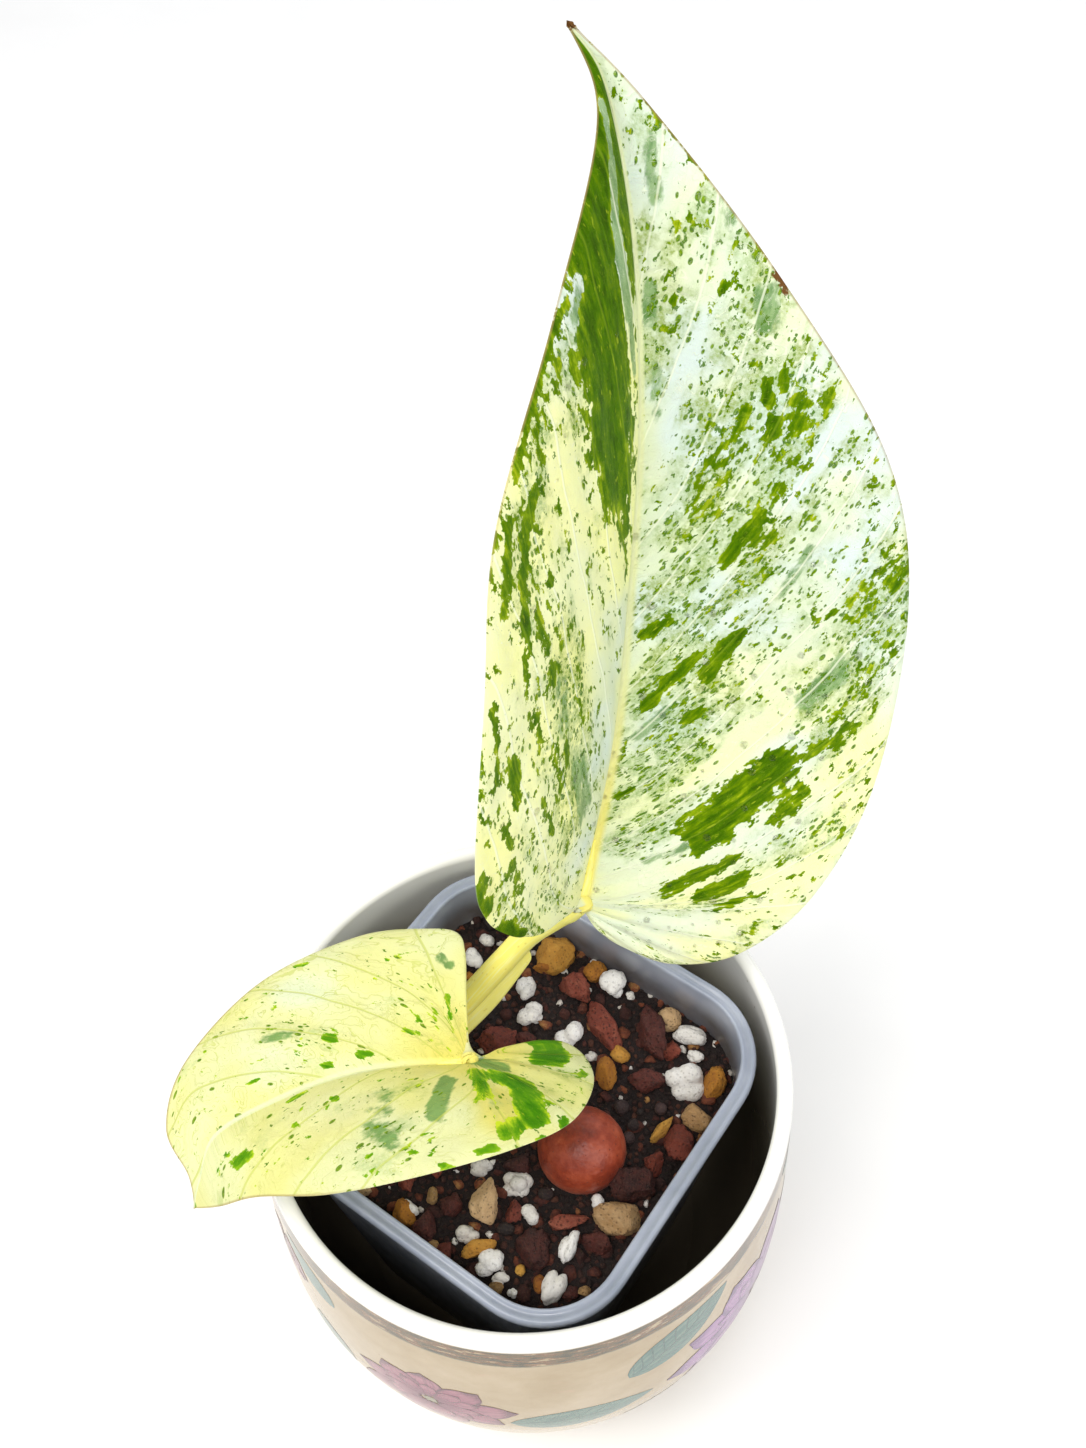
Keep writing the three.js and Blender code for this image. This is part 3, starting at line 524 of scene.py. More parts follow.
# Living leaf: a waxy cuticle, so highlights are broad and soft, over tissue that glows a little where it
# holds no green. Green cells lie in flecks and torn streaks, about 1 mm by 4 mm, that follow the side veins.
@finish
def leaf_skin(tree, light, cool, cream, gold, rib_base, milk, pale_vein, greens):
    names = ("flow", "flat", "form")
    flow, flat, form = (add(tree, "Attribute", attribute_name=name)["Vector"] for name in names)
    wear, under = (add(tree, "Attribute", attribute_name=name)["Fac"] for name in ("wear", "under"))
    paint = add(tree, "Attribute", attribute_name="paint")
    dark_share, haze_share, cream_share = paint["Color"].to("SeparateColor")
    milky_share = paint["Alpha"]
    from_edge, from_rib, along = form.to("SeparateXYZ")
    # Streaks of 8 mm by 30 mm that hold hardly any green
    clear = grown(flow, 0.12, 0.035, 3, 0.55, 91).above(0.51, 0.61)
    haze_share = clear * -0.4 + haze_share

    # Pale tissue: cream where it is youngest, cooler where light comes through empty cells
    patches = grown(flow, 0.09, 0.05, 3, 0.55, 2)
    ground = (patches * 0.6 + (cream_share - 0.3)).to("ValToRGB", stops=[(0, light), (0.5, cream), (1, gold)])
    cool_share = grown(flow, 0.06, 0.05, 2, 0.5, 3).above(0.4, 0.6) * (cream_share * -1.0 + 0.75)

    # Haze: a thin scatter of green cells, in clouds of 4 mm by 9 mm with white spots of 2 mm among them
    hazy = (grown(flow, 0.22, 0.15, 6, 0.62, 11) * 2.2 + haze_share).above(1.2, 1.95)
    spots = grown(flat, 0.42, 0.38, 3, 0.5, 71).above(0.53, 0.63)
    fine = grown(flat, 1.6, 1.5, 4, 0.7, 5)
    haze = hazy * (fine.above(0.36, 0.62) * 0.55 + 0.45) * (spots * -0.85 + 1.0)
    haze_colour = coats("#9ab572", (patches.above(0.42, 0.58), "#90a845"))
    milky = (grown(flow, 0.5, 0.26, 5, 0.6, 21) * 1.6 + milky_share).above(1.15, 1.5)
    milk_colour = coats(milk, (grown(flow, 0.55, 0.16, 4, 0.65, 61).above(0.4, 0.62), "#4f7f3a"))

    # Flecks and dots: single groups of green cells, 0.4 mm to 1.5 mm long
    fleck = (haze_share * 0.14 + grown(flow, 0.9, 0.5, 3, 0.6, 31)).above(0.67, 0.7)
    dots = flow.to("Mapping", Scale=(1.15, 0.7, 1)).to("TexVoronoi", Scale=0.95)
    chosen, plump, _ = dots["Color"].to("SeparateColor")
    enough = hazy * -0.5 + (haze_share * -0.5 + 0.93)
    dot = (plump * -0.34 + dots["Distance"]).above(0.2, 0.08) * (chosen > enough)
    dot_colour = fine.to("ValToRGB", stops=[(0.4, "#3b6700"), (0.6, "#7b9e08")])

    # Green patches with bitten edges, olive and yellow where they thin out, with yellow nicks
    ragged = (grown(flow, 0.6, 0.36, 4, 0.58) - 0.5) * ((dark_share * -1.7 + 3.4) | 0.9)
    bare = milky_share * 1.1 + (clear * 0.2 + 0.29)
    depth = ragged + (fine * 0.55 + (hazy * 0.16 + dark_share - bare))
    dark = depth.above(0.47, 0.53)
    streak = grown(flow, 0.7, 0.14, 4, 0.6, 41) - 0.5
    youth = cream_share.above(0.62, 0.85) * 0.3
    green = (streak * 1.5 + (depth * 0.42 - youth)).to("ValToRGB", stops=greens)
    nick = grown(flow, 1.0, 0.34, 3, 0.6, 111).above(0.62, 0.69)
    green = coats(green, (nick * 0.75, "#a3b527"))

    # Side veins every 9 mm, and the net between them, about 4 mm by 9 mm
    bent = grown(flow, 0.05, 0.05, 2, 0.5, 51) * 3.0 + flow.to("SeparateXYZ")
    main_vein = bent.to("Math", VEIN_PITCH / 2, operation="PINGPONG").above(0.3, 0.08)
    warp = grown(flow, 0.15, 0.15, 3, 0.5, 81)
    warped = flow.to("VectorMath", warp, (5, 5, 5), operation="MULTIPLY_ADD")
    net = warped.to("Mapping", Scale=(0.24, 0.11, 1)).to(
        "TexVoronoi", Scale=1.0, feature="DISTANCE_TO_EDGE")["Distance"]
    vein = (main_vein * 0.6) | (net.above(0.03, 0.008) * 0.5)

    rib_colour = along.to("ValToRGB", stops=[(0.02, rib_base), (0.3, "#e6e9b4"), (1, "#dfe6bd")])
    browned = from_edge.above(0.5, 0.1) * along.above(0.35, 0.7)
    colour = coats(
        ground, (cool_share | 0.0, cool), (haze * 0.95, haze_colour), (milky * 0.86, milk_colour),
        (fleck * 0.95, "#4b7606"), (dot * 0.95, dot_colour), (dark, green),
        (vein * (dark * -0.35 + 1.0), coats(pale_vein, (dark, "#86a024"))), (under * 0.45, "#dfe6c6"),
        (from_rib.above(0.85, 0.3) * 0.9, rib_colour), (browned * 0.55, "#a08055"),
        ((wear * fine).above(0.28, 0.4), "#6e4a26"))
    cells = millimetres(tree).to("TexNoise", Scale=2.6, Detail=3.0)
    return dict(Base_Color=colour, Roughness=cells * 0.2 + (under * 0.15 + 0.26), IOR=1.45,
                Specular_IOR_Level=0.05, Subsurface_Weight=0.08, Subsurface_Radius=(1.0, 1.3, 0.5),
                Subsurface_Scale=0.0004, relief=(vein * -1.2 + cells * 0.5, 0.5, 0.2))


# Petiole and stem skin: smooth and waxy, with fine lengthwise fibres about 0.4 mm apart
@finish
def stalk_skin(tree, low, high, bruise):
    skin = add(tree, "Attribute", attribute_name="skin")["Vector"]
    share = add(tree, "Attribute", attribute_name="share")["Fac"]
    fibres = skin.to("Mapping", Scale=(2.4, 2.4, 0.12)).to("TexNoise", Scale=1.0, Detail=4.0)
    freckles = skin.to("Mapping", Scale=(0.8, 0.8, 0.5)).to("TexVoronoi", Scale=1.0)
    colour = coats(share.to("ValToRGB", stops=[(0, low), (1, high)]), (fibres.above(0.45, 0.7), "#fff8a0"),
                   (freckles.above(0.2, 0.08) * 0.5, bruise))
    return dict(Base_Color=colour, Roughness=0.4, IOR=1.45, Specular_IOR_Level=0.15, Subsurface_Weight=0.2,
                Subsurface_Radius=(1.2, 1.0, 0.3), Subsurface_Scale=0.001, relief=(fibres, 0.3, 0.15))


# Glazed stoneware: a thick clear glaze gives hard small highlights. The lip is wiped white, the body is cream
# with a mottled olive-brown band, and the inside is painted darker downwards, as painted shade deep in the pot.
@finish
def glazed_stoneware(tree):
    turned = add(tree, "Attribute", attribute_name="turned")["Fac"]
    place = millimetres(tree)
    height = place.to("SeparateXYZ")["Z"]
    cloud = place.to("TexNoise", Scale=0.06, Detail=5.0, Roughness=0.6)
    body = cloud.to("ValToRGB", stops=[(0.3, "#aa936d"), (0.5, "#b7a27f"), (0.7, "#c3af90")])
    blush = millimetres(tree, (0.1, 0.1, 0.25)).to("TexNoise", Scale=1.0, Detail=6.0, Roughness=0.7)
    wash = millimetres(tree, (0.2, 0.2, 0.8)).to("TexNoise", Scale=1.0, Detail=6.0, Roughness=0.68)
    band = wash.to("ValToRGB", stops=[
        (0.37, "#3b3724"), (0.44, "#544930"), (0.5, "#6f5d3c"), (0.56, "#7a4c30"), (0.62, "#b9a67f")])
    wobble = cloud * 2.4 + (height - 1.2)
    in_band = wobble.above(BAND[0] - 0.2, BAND[0] + 0.2) * height.above(BAND[1] + 0.25, BAND[1] - 0.35)
    line = abs(wobble - BAND[0]).above(0.42, 0.12)
    # Painted shade: the inside runs from near white at the lip down to dark brown-grey at 40 mm high
    inside = height.above(40, 86).to("ValToRGB", stops=[
        (0, "#6b6253"), (0.3, "#a49b87"), (0.6, "#d2ccbb"), (0.84, "#e8e5dd"), (0.985, "#f6f5f1")])
    specks = place.to("TexVoronoi", Scale=0.22)
    speck = specks.above(0.075, 0.045) * (specks["Color"].to("SeparateColor") > 0.55)
    biscuit = height.above(1.0, 0.6)
    colour = coats(
        body, (blush.above(0.58, 0.75) * 0.45, "#cba186"), (in_band, band), (line * 0.65, "#7c7b62"),
        (height.above(BAND[1] - 0.1, BAND[1] + 0.5), "#f4f3ee"), (turned > INSIDE_FROM, inside),
        (speck * 0.6, "#8a6a4e"), (biscuit, "#c8ad88"))
    ripple = place.to("TexNoise", Scale=0.25, Detail=2.0)
    return dict(Base_Color=colour, Roughness=biscuit * 0.6 + 0.13, IOR=1.52, Specular_IOR_Level=0.22,
                relief=(ripple, 0.25, 0.12))


# Brushed underglaze colour: thin washes that pool darker at the edge of each stroke, under the same glaze
@finish
def brushed_colour(tree, heart, wash, tip, edge):
    brush = add(tree, "Attribute", attribute_name="brush")["Vector"]
    along, across, shade = brush.to("SeparateXYZ")
    streak = brush.to("Mapping", Scale=(1.2, 5, 9)).to("TexNoise", Scale=1.0, Detail=4.0, Roughness=0.65)
    pool = millimetres(tree).to("TexNoise", Scale=0.35, Detail=4.0)
    colour = (streak * 0.5 + along * 0.75).to("ValToRGB", stops=[(0.15, heart), (0.5, wash), (0.9, tip)])
    soft = pool * 0.22 + (abs(across) | (along * 0.99))
    colour = coats(colour, (shade * 0.3, wash), (soft.above(0.82, 1.06) * 0.85, edge),
                   (streak.above(0.52, 0.62) * 0.5, edge))
    return dict(Base_Color=colour, Roughness=0.15, IOR=1.52, Specular_IOR_Level=0.22)


@finish
def brushed_grey_green(tree):
    brush = add(tree, "Attribute", attribute_name="brush")["Vector"]
    along, across, _ = brush.to("SeparateXYZ")
    side = abs(across)
    streak = brush.to("Mapping", Scale=(3, 4, 5)).to("TexNoise", Scale=1.4, Detail=5.0, Roughness=0.7)
    ribs = (side * -0.16 + along).to("Math", 0.055, operation="PINGPONG")
    vein = ribs.above(0.013, 0.003) | side.above(0.09, 0.02)
    colour = coats(streak.to("ValToRGB", stops=[(0.3, "#3f625a"), (0.5, "#55776c"), (0.7, "#7a907d")]),
                   (vein * 0.7, "#34544e"), (side.above(0.8, 1.0) * 0.6, "#486b62"))
    return dict(Base_Color=colour, Roughness=0.15, IOR=1.52, Specular_IOR_Level=0.22)


# Injection-moulded polypropylene: cloudy and slightly blue, so light soaks in and the rim glows. The wall's
# inner face is painted darker grey-brown in blotches below the rim, as painted shade inside the pot.
@finish
def moulded_polypropylene(tree):
    place = millimetres(tree)
    cloud = place.to("TexNoise", Scale=0.08, Detail=3.0)
    level = place.to("VectorMath", (1, 1, 0), operation="MULTIPLY")
    facing = level.to("VectorMath", add(tree, "NewGeometry")["Normal"], operation="DOT_PRODUCT")["Value"]
    # Painted shade: the wall's inner face darkens in blotches from just below the rim downwards
    inner = facing.above(2, -2) * place.to("SeparateXYZ")["Z"].above(NURSERY_TOP - 1.5, NURSERY_TOP - 9)
    blotchy_painted_shade = place.to("TexNoise", Scale=0.12, Detail=5.0) * 0.9 + 0.45
    colour = cloud.to("ValToRGB", stops=[(0.35, "#8a919f"), (0.65, "#a0a6b3")])
    scuffs = millimetres(tree, (1, 1, 0.15)).to("TexNoise", Scale=1.1, Detail=4.0)
    return dict(Base_Color=coats(colour, (inner * blotchy_painted_shade, "#5d5857")), Roughness=scuffs * 0.2 + 0.12, IOR=1.49,
                Subsurface_Weight=0.35, Subsurface_Radius=(1.0, 1.1, 1.3), Subsurface_Scale=0.002)


# Mineral grains: matt, rough and pitted. Each one has a tint of its own, and the pits are about 0.4 mm.
@finish
def mineral(tree, stops, pit=0.5, roughness=0.78, dust="#8a6a58", dusty=0.25):
    tint = add(tree, "Attribute", attribute_name="tint")["Fac"]
    place = millimetres(tree)
    blotch = place.to("TexNoise", Scale=0.45, Detail=5.0, Roughness=0.7)
    grit = place.to("TexNoise", Scale=2.4, Detail=4.0, Roughness=0.7)
    # The pits are sunk by the bump and painted dark brown as well, as painted shade in their hollows
    pit_and_painted_shade = place.to("TexVoronoi", Scale=1.3).above(0.36, 0.12)
    colour = coats((blotch * 0.7 + (tint * 0.6 - 0.15)).to("ValToRGB", stops=stops),
                   (grit.above(0.52, 0.75) * dusty, dust), (pit_and_painted_shade * pit, "#2a1712"))
    return dict(Base_Color=colour, Roughness=roughness, IOR=1.5, relief=(pit_and_painted_shade * -pit + grit, 0.9, 0.6))


# Expanded clay fired in a kiln: a thin sintered skin, smoother than broken stone and faintly rosy
@finish
def fired_clay(tree):
    place = millimetres(tree)
    blotch = place.to("TexNoise", Scale=0.16, Detail=5.0, Roughness=0.65)
    # The pores are sunk by the bump and painted dark as well, as painted shade in their hollows
    pore_and_painted_shade = place.to("TexVoronoi", Scale=0.75).above(0.16, 0.07)
    grain = place.to("TexNoise", Scale=1.6, Detail=5.0)
    colour = coats(blotch.to("ValToRGB", stops=[(0.32, "#6c2211"), (0.5, "#94391f"), (0.68, "#b8583a")]),
                   (pore_and_painted_shade * 0.6, "#54201a"))
    return dict(Base_Color=colour, Roughness=0.42, IOR=1.5, Sheen_Weight=0.1, Sheen_Roughness=0.5,
                Sheen_Tint="#e8b8a8", relief=(pore_and_painted_shade * -0.8 + grain, 0.4, 0.25))


# Clean water: clear drops that bend the leaf's colour and hold a small bright highlight
@finish
def clean_water(tree):
    return dict(Base_Color="#ffffff", Roughness=0.03, IOR=1.33, Transmission_Weight=1.0)


# Plain matt paper for the floor
@finish
def plain_paper(tree):
    fibre = millimetres(tree).to("TexNoise", Scale=0.02, Detail=3.0)
    return dict(Base_Color=fibre.to("ValToRGB", stops=[(0.3, "#f6f6f5"), (0.7, "#fafaf9")]), Roughness=0.9)


# Geometry Nodes
def new_tree(name, **inputs):
    """A geometry tree with its named inputs, and what it is given"""
    tree = bpy.data.node_groups.new(name, "GeometryNodeTree")
    tree.is_modifier = True
    for label, kind in {"Geometry": "Geometry", **inputs}.items():
        tree.interface.new_socket(label, in_out="INPUT", socket_type="NodeSocket" + kind)
    tree.interface.new_socket("Geometry", in_out="OUTPUT", socket_type="NodeSocketGeometry")
    return tree, add(tree, "NodeGroupInput")


def end_tree(made, given):
    """Makes a tree's copies real and gives them their material"""
    real = made.to("GeometryNodeRealizeInstances")
    real.to("GeometryNodeSetMaterial", Material=given["Finish"]).to("NodeGroupOutput")


def turned_wall_tree():
    """Turns a profile round the Z axis: a grid with one row for each of its points, bent into a ring"""
    tree, given = new_tree("turned_wall", Profile="Object", Rows="Int", Turns="Int", Finish="Material")
    grid = add(tree, "GeometryNodeMeshGrid", 1.0, 1.0, given["Rows"], given["Turns"] + 1.0)
    down, round_to, _ = grid["UV Map"].to("SeparateXYZ")
    row = (down * (given["Rows"] - 1.0)).to("Math", operation="ROUND")
    place = add(tree, "GeometryNodeInputPosition")
    point = given["Profile"].to("GeometryNodeObjectInfo")["Geometry"].to(
        "GeometryNodeSampleIndex", Value=place, Index=row, data_type="FLOAT_VECTOR")
    bent = point.to("VectorRotate", Angle=round_to * (2 * math.pi), rotation_type="Z_AXIS")
    wall = grid.to("GeometryNodeStoreNamedAttribute", Name="turned", Value=down, data_type="FLOAT")
    wall = wall.to("GeometryNodeSetPosition", Position=bent).to("GeometryNodeMergeByDistance", Distance=1e-6)
    end_tree(wall, given)
    return tree


def scatter_tree():
    """Scatters copies of a collection's shapes over a carrier, standing along its normals"""
    tree, given = new_tree("scattered_shapes", Shapes="Collection", Gap="Float", Smallest="Float",
                           Largest="Float", Tumble="Float", Seed="Int", Finish="Material")
    room = add(tree, "GeometryNodeInputNamedAttribute", "room", data_type="FLOAT")
    spots = given.to("GeometryNodeDistributePointsOnFaces", Distance_Min=given["Gap"], Density_Max=1e8,
                     Density_Factor=room, Seed=given["Seed"], distribute_method="POISSON")
    shapes = given["Shapes"].to("GeometryNodeCollectionInfo", True, True)
    most = given["Tumble"].to("CombineXYZ", given["Tumble"], 2 * math.pi)
    spin = add(tree, "FunctionNodeRandomValue", None, most, Seed=given["Seed"], data_type="FLOAT_VECTOR")
    turn = spots["Rotation"].to("FunctionNodeRotateRotation", spin.to("FunctionNodeEulerToRotation"),
                                rotation_space="LOCAL")
    size, tint = (add(tree, "FunctionNodeRandomValue", None, None, low, high, Seed=seed, data_type="FLOAT")[1]
                  for low, high, seed in ((given["Smallest"], given["Largest"], 7), (0.0, 1.0, 3)))
    copies = spots.to("GeometryNodeInstanceOnPoints", Instance=shapes, Pick_Instance=True, Rotation=turn,
                      Scale=size)
    tinted = copies.to("GeometryNodeStoreNamedAttribute", Name="tint", Value=tint, data_type="FLOAT",
                       domain="INSTANCE")
    end_tree(tinted, given)
    return tree


def grow(name, tree, carrier, **values):
    """Runs a tree on a carrier mesh with its inputs set, and gives the result as a plain mesh"""
    worker = show(name + "_carrier", carrier)
    modifier = worker.modifiers.new(name, "NODES")
    modifier.node_group = tree
    for item in tree.interface.items_tree:
        if item.in_out == "INPUT" and item.name in values:
            modifier[item.identifier] = values[item.name]
    mesh = evaluated(worker)
    mesh.name = name
    return mesh


def scatter(carrier, shapes, layers, replaces=()):
    """A piece for each layer: its gap, smallest and largest size in millimetres, tumble, seed and finish"""
    holder = bpy.data.collections.new("shapes")
    for n, shape in enumerate(shapes):
        holder.objects.link(bpy.data.objects.new(f"shape_{n}", mesh_of(f"shape_{n}", *shape, scale=1)))
    tree = scatter_tree()
    for name, (gap, smallest, largest, tumble, seed, material) in layers.items():
        mesh = grow(name, tree, carrier.copy(), Shapes=holder, Gap=gap * MM, Smallest=smallest * MM,
                    Largest=largest * MM, Tumble=tumble, Seed=seed, Finish=material)
        enlist(name, mended(mesh), replaces)
    for shape in list(holder.objects):
        bpy.data.objects.remove(shape)
    bpy.data.collections.remove(holder)


# Camera first, because the rest is judged through it
def add_camera():
    data = bpy.data.cameras.new("photo_view")
    data.sensor_width, data.lens = SENSOR, FOCAL_PIXELS * SENSOR / PICTURE_PIXELS
    data.clip_start, data.clip_end = 0.01, 50
    camera = show("photo_view", data)
    bpy.context.scene.camera = camera
    ahead = Vector((0, math.cos(CAMERA_PITCH), -math.sin(CAMERA_PITCH)))
    right, c, s = Vector((1, 0, 0)), math.cos(CAMERA_ROLL), math.sin(CAMERA_ROLL)
    up = right.cross(ahead)
    turned = Matrix([c * right + s * up, c * up - s * right, -ahead]).transposed().to_4x4()
    camera.matrix_world = Matrix.Translation(Vector(CAMERA_PLACE) * MM) @ turned


# The glazed pot, turned from its profile
def pot_outside():
    return curve([*POT_OUTSIDE, (POT_RIM, POT_HEIGHT - POT_LIP)], np.linspace(0, 1, 80), ghosts=False)


def pot_profile():
    outside = pot_outside() - (PAINT_ROOM, 0)
    angles = np.linspace(0, math.pi, 17)[1:-1]
    radius = POT_LIP - PAINT_ROOM / 2
    middle = POT_RIM - POT_LIP - PAINT_ROOM / 2
    lip = np.stack([middle + radius * np.cos(angles), POT_HEIGHT - POT_LIP + radius * np.sin(angles)], axis=1)
    inside = [(POT_RIM - 2 * POT_LIP, POT_HEIGHT - POT_LIP), *POT_INSIDE]
    inside = curve(inside, np.linspace(0, 1, 50), ghosts=False)
    foot = [(0, 0), (POT_FOOT - 1.2, 0), (POT_FOOT - 0.4, 0.12), (POT_FOOT + 0.3, 0.5)]
    return np.vstack([foot, outside, lip, inside, [(30, POT_FLOOR), (15, POT_FLOOR), (0, POT_FLOOR)]])


def make_glazed_pot():
    points = [(r, 0, z) for r, z in pot_profile()]
    rows = len(points)
    guide = show("pot_profile", mesh_of("pot_profile", points, [], [(n, n + 1) for n in range(rows - 1)]))
    mesh = grow("glazed_pot", turned_wall_tree(), bpy.data.meshes.new("seed"), Profile=guide, Rows=rows,
                Turns=POT_TURNS, Finish=glazed_stoneware())
    bpy.data.objects.remove(guide)
    enlist("glazed_pot", mended(mesh), ["outer_pot"])


# The painting: each stroke is a thin patch of colour that lies on the glazed wall
def on_wall(degrees, heights, lift):
    """Points on the pot's outside at angles round from the front and heights, lifted off it a little"""
    outside = pot_outside()
    radius = np.interp(heights, outside[:, 1], outside[:, 0]) - PAINT_ROOM + lift
    angle = np.radians(degrees)
    return np.stack([radius * np.sin(angle), -radius * np.cos(angle), heights], axis=-1)


PAINTED_RADIUS, HEART_GAP = 52, 1.6  # HEART_GAP is how far from a flower's middle its petals start
ARC = 360 / (2 * math.pi * PAINTED_RADIUS)  # degrees round the pot for each millimetre of arc


def stroke(at, start_gap, length, width, turn, shade, lift, pointed=False, rows=26, columns=11):
    """A petal or leaf that starts a little way from a point and runs out at an angle from level"""
    t = np.linspace(0, 1, rows)[:, None]
    side = np.linspace(-1, 1, columns)[None, :]
    full = np.sin(np.pi * t**0.8) ** 0.8 if pointed else np.sin(np.pi * t**1.5 * 0.98) ** 0.55
    full = np.maximum(full, 0.015)
    reach = start_gap + length * t + 0 * side
    over = side * width / 2 * full
    if not pointed:
        reach = reach + 0.09 * length * (1 - side**2) * t**3
    angle = math.radians(turn)
    flat_x = reach * math.cos(angle) - over * math.sin(angle)
    flat_z = reach * math.sin(angle) + over * math.cos(angle)
    points = on_wall(at[0] + flat_x * ARC, at[1] + flat_z, lift).reshape(-1, 3)
    brush = np.stack([t + 0 * side, side + 0 * t, np.full((rows, columns), shade)], axis=-1).reshape(-1, 3)
    return points, [face[::-1] for face in grid_faces(rows, columns)], brush


def bloom(at, radius, petals, turn, roll):
    """A round flower: wide outer petals, then shorter inner ones over them, and a small heart"""
    strokes = []
    for ring, count in enumerate(petals):
        reach = radius * (1 - 0.36 * ring)
        for n in range(count):
            direction = turn + 360 * (n + 0.5 * ring) / count + 9 * (next(roll) - 0.5)
            length = reach * mix(0.84, 1.0, next(roll)) - HEART_GAP
            width = 2 * math.pi * reach * 0.72 / count * mix(0.9, 1.15, next(roll))
            lift = 0.045 + 0.006 * (2 * ring + n % 2)
            strokes.append(stroke(at, HEART_GAP, length, width, direction, next(roll), lift))
    return strokes


def make_painting():
    roll = dice(29)
    roses, lilacs, greens, hearts = [], [], [], []
    for spray in range(SPRAYS):
        round_to = 360 * spray / SPRAYS
        for kind, spec in ((roses, ROSE_BLOOM), (lilacs, LILAC_BLOOM), (roses, BUD)):
            at = (spec["at"][0] + round_to, spec["at"][1])
            kind += bloom(at, spec["radius"], spec["petals"], spec["turn"], roll)
            hearts += [stroke(at, -1.6, 3.4, 2.6, 70, 0, 0.068), stroke(at, -1.4, 3.0, 2.0, -20, 1, 0.074)]
        for degrees, height, turn, length, width in PAINTED_LEAVES:
            at = (degrees + round_to, height)
            greens.append(stroke(at, 0, length, width, turn, next(roll), 0.03, pointed=True))
    rose = brushed_colour("brushed_rose", "#551330", "#7c2d4e", "#b47482", "#4e1130")
    lilac = brushed_colour("brushed_lilac", "#613067", "#85508d", "#b384b3", "#522463")
    olive = brushed_colour("brushed_olive", "#6d6a4d", "#8a8566", "#a8a284", "#6f6a50")
    sets = {"painted_roses": (roses, rose), "painted_lilacs": (lilacs, lilac), "painted_hearts": (hearts, olive),
            "painted_leaves": (greens, brushed_grey_green())}
    for name, (strokes, material) in sets.items():
        brush = np.vstack([one[2] for one in strokes])
        piece(name, joined([one[:2] for one in strokes]), material, data={"brush": brush},
              closed=False)


# The nursery pot: a tapered wall that turns out in a flange with two soft beads and a groove between them
def make_nursery_pot():
    low = POT_FLOOR + GAP
    outer = [
        (NURSERY_FOOT - 1.6, 12.2, low), (NURSERY_FOOT - 0.5, 12.7, low + 0.3), (NURSERY_FOOT, 13, low + 1),
        (60.6, 13.3, 25), (64.6, 13.8, 46), (68.6, 14.3, 66), (NECK - 0.1, 14.85, 78.4),
        (NECK + 0.5, 15.1, 79.1), (72.9, 16.3, 79.2), (73.7, 16.75, 79.6), (74, 16.9, 80.2), (74, 16.9, 81),
        (73.7, 16.75, 81.6), (73.1, 16.45, 81.93), (72.4, 16.1, 82), (71.7, 15.8, 81.85),
        (71.1, 15.5, 81.6), (70.4, 15.1, 81.55), (69.8, 14.8, 81.7), (69.2, 14.5, 81.95), (68.7, 14.25, 82),
        (68.25, 14.05, 81.8), (68, 13.9, 81.3)]
    inner = [(67.6, 13.75, 78), (66.6, 13.3, 66), (62.8, 12.8, 46), (58.8, 12.4, 25), (55.4, 12, 8),
             (54.6, 11.8, 7), (53.6, 11.6, 6.7), (30, 6, 6.7), (2, 0.8, 6.7)]
    base = [(2, 0.8, low), (30, 6, low)]
    loops = [place_square(rounded_square(*loop)) for loop in [*base, *outer, *inner]]
    drills = []
    for x, y in [(0, 0), (1, 1), (1, -1), (-1, 1), (-1, -1)]:
        centre = place_square((x * DRAIN_SPREAD, y * DRAIN_SPREAD, 0))
        ends = [rounded_square(2 * DRAIN_RADIUS, DRAIN_RADIUS, z, 8) + centre for z in (low - 2, low + 4)]
        drills.append(loft(ends))
    mesh = pierced("nursery_pot", loft(loops), joined(drills))
    mesh.materials.append(moulded_polypropylene())
    enlist("nursery_pot", mended(mesh), ["nursery_pot"])


# The potting mix
def ground(x, y):
    """Height of the mix above its edge: a little higher in the middle, in soft hummocks"""
    a, b = into_square(x, y)
    inner = 1 - np.minimum(1, np.hypot(a, b) / 42) ** 2
    return inner * (0.9 + 0.8 * np.sin(a * 0.23 + 1) * np.cos(b * 0.19))


SOIL_HALF = NURSERY_SIDE / 2 - FLANGE - 0.5 - GAP
SOIL_CORNER = NURSERY_CORNER - FLANGE - 0.4 - GAP
BED_SIDE, BED_CORNER = 2 * SOIL_HALF + 0.4, SOIL_CORNER + 0.2


def inside_square(x, y, radius):
    """Moves a stone of a given radius inwards until it clears the wall"""
    half, corner = SOIL_HALF - radius, max(0.1, SOIL_CORNER - radius)
    a, b = (max(-half, min(half, value)) for value in into_square(x, y))
    past_a, past_b = abs(a) - (half - corner), abs(b) - (half - corner)
    if past_a > 0 and past_b > 0 and math.hypot(past_a, past_b) > corner:
        pull = corner / math.hypot(past_a, past_b)
        a = math.copysign(half - corner + past_a * pull, a)
        b = math.copysign(half - corner + past_b * pull, b)
    return place_square((a, b, 0))[:2]


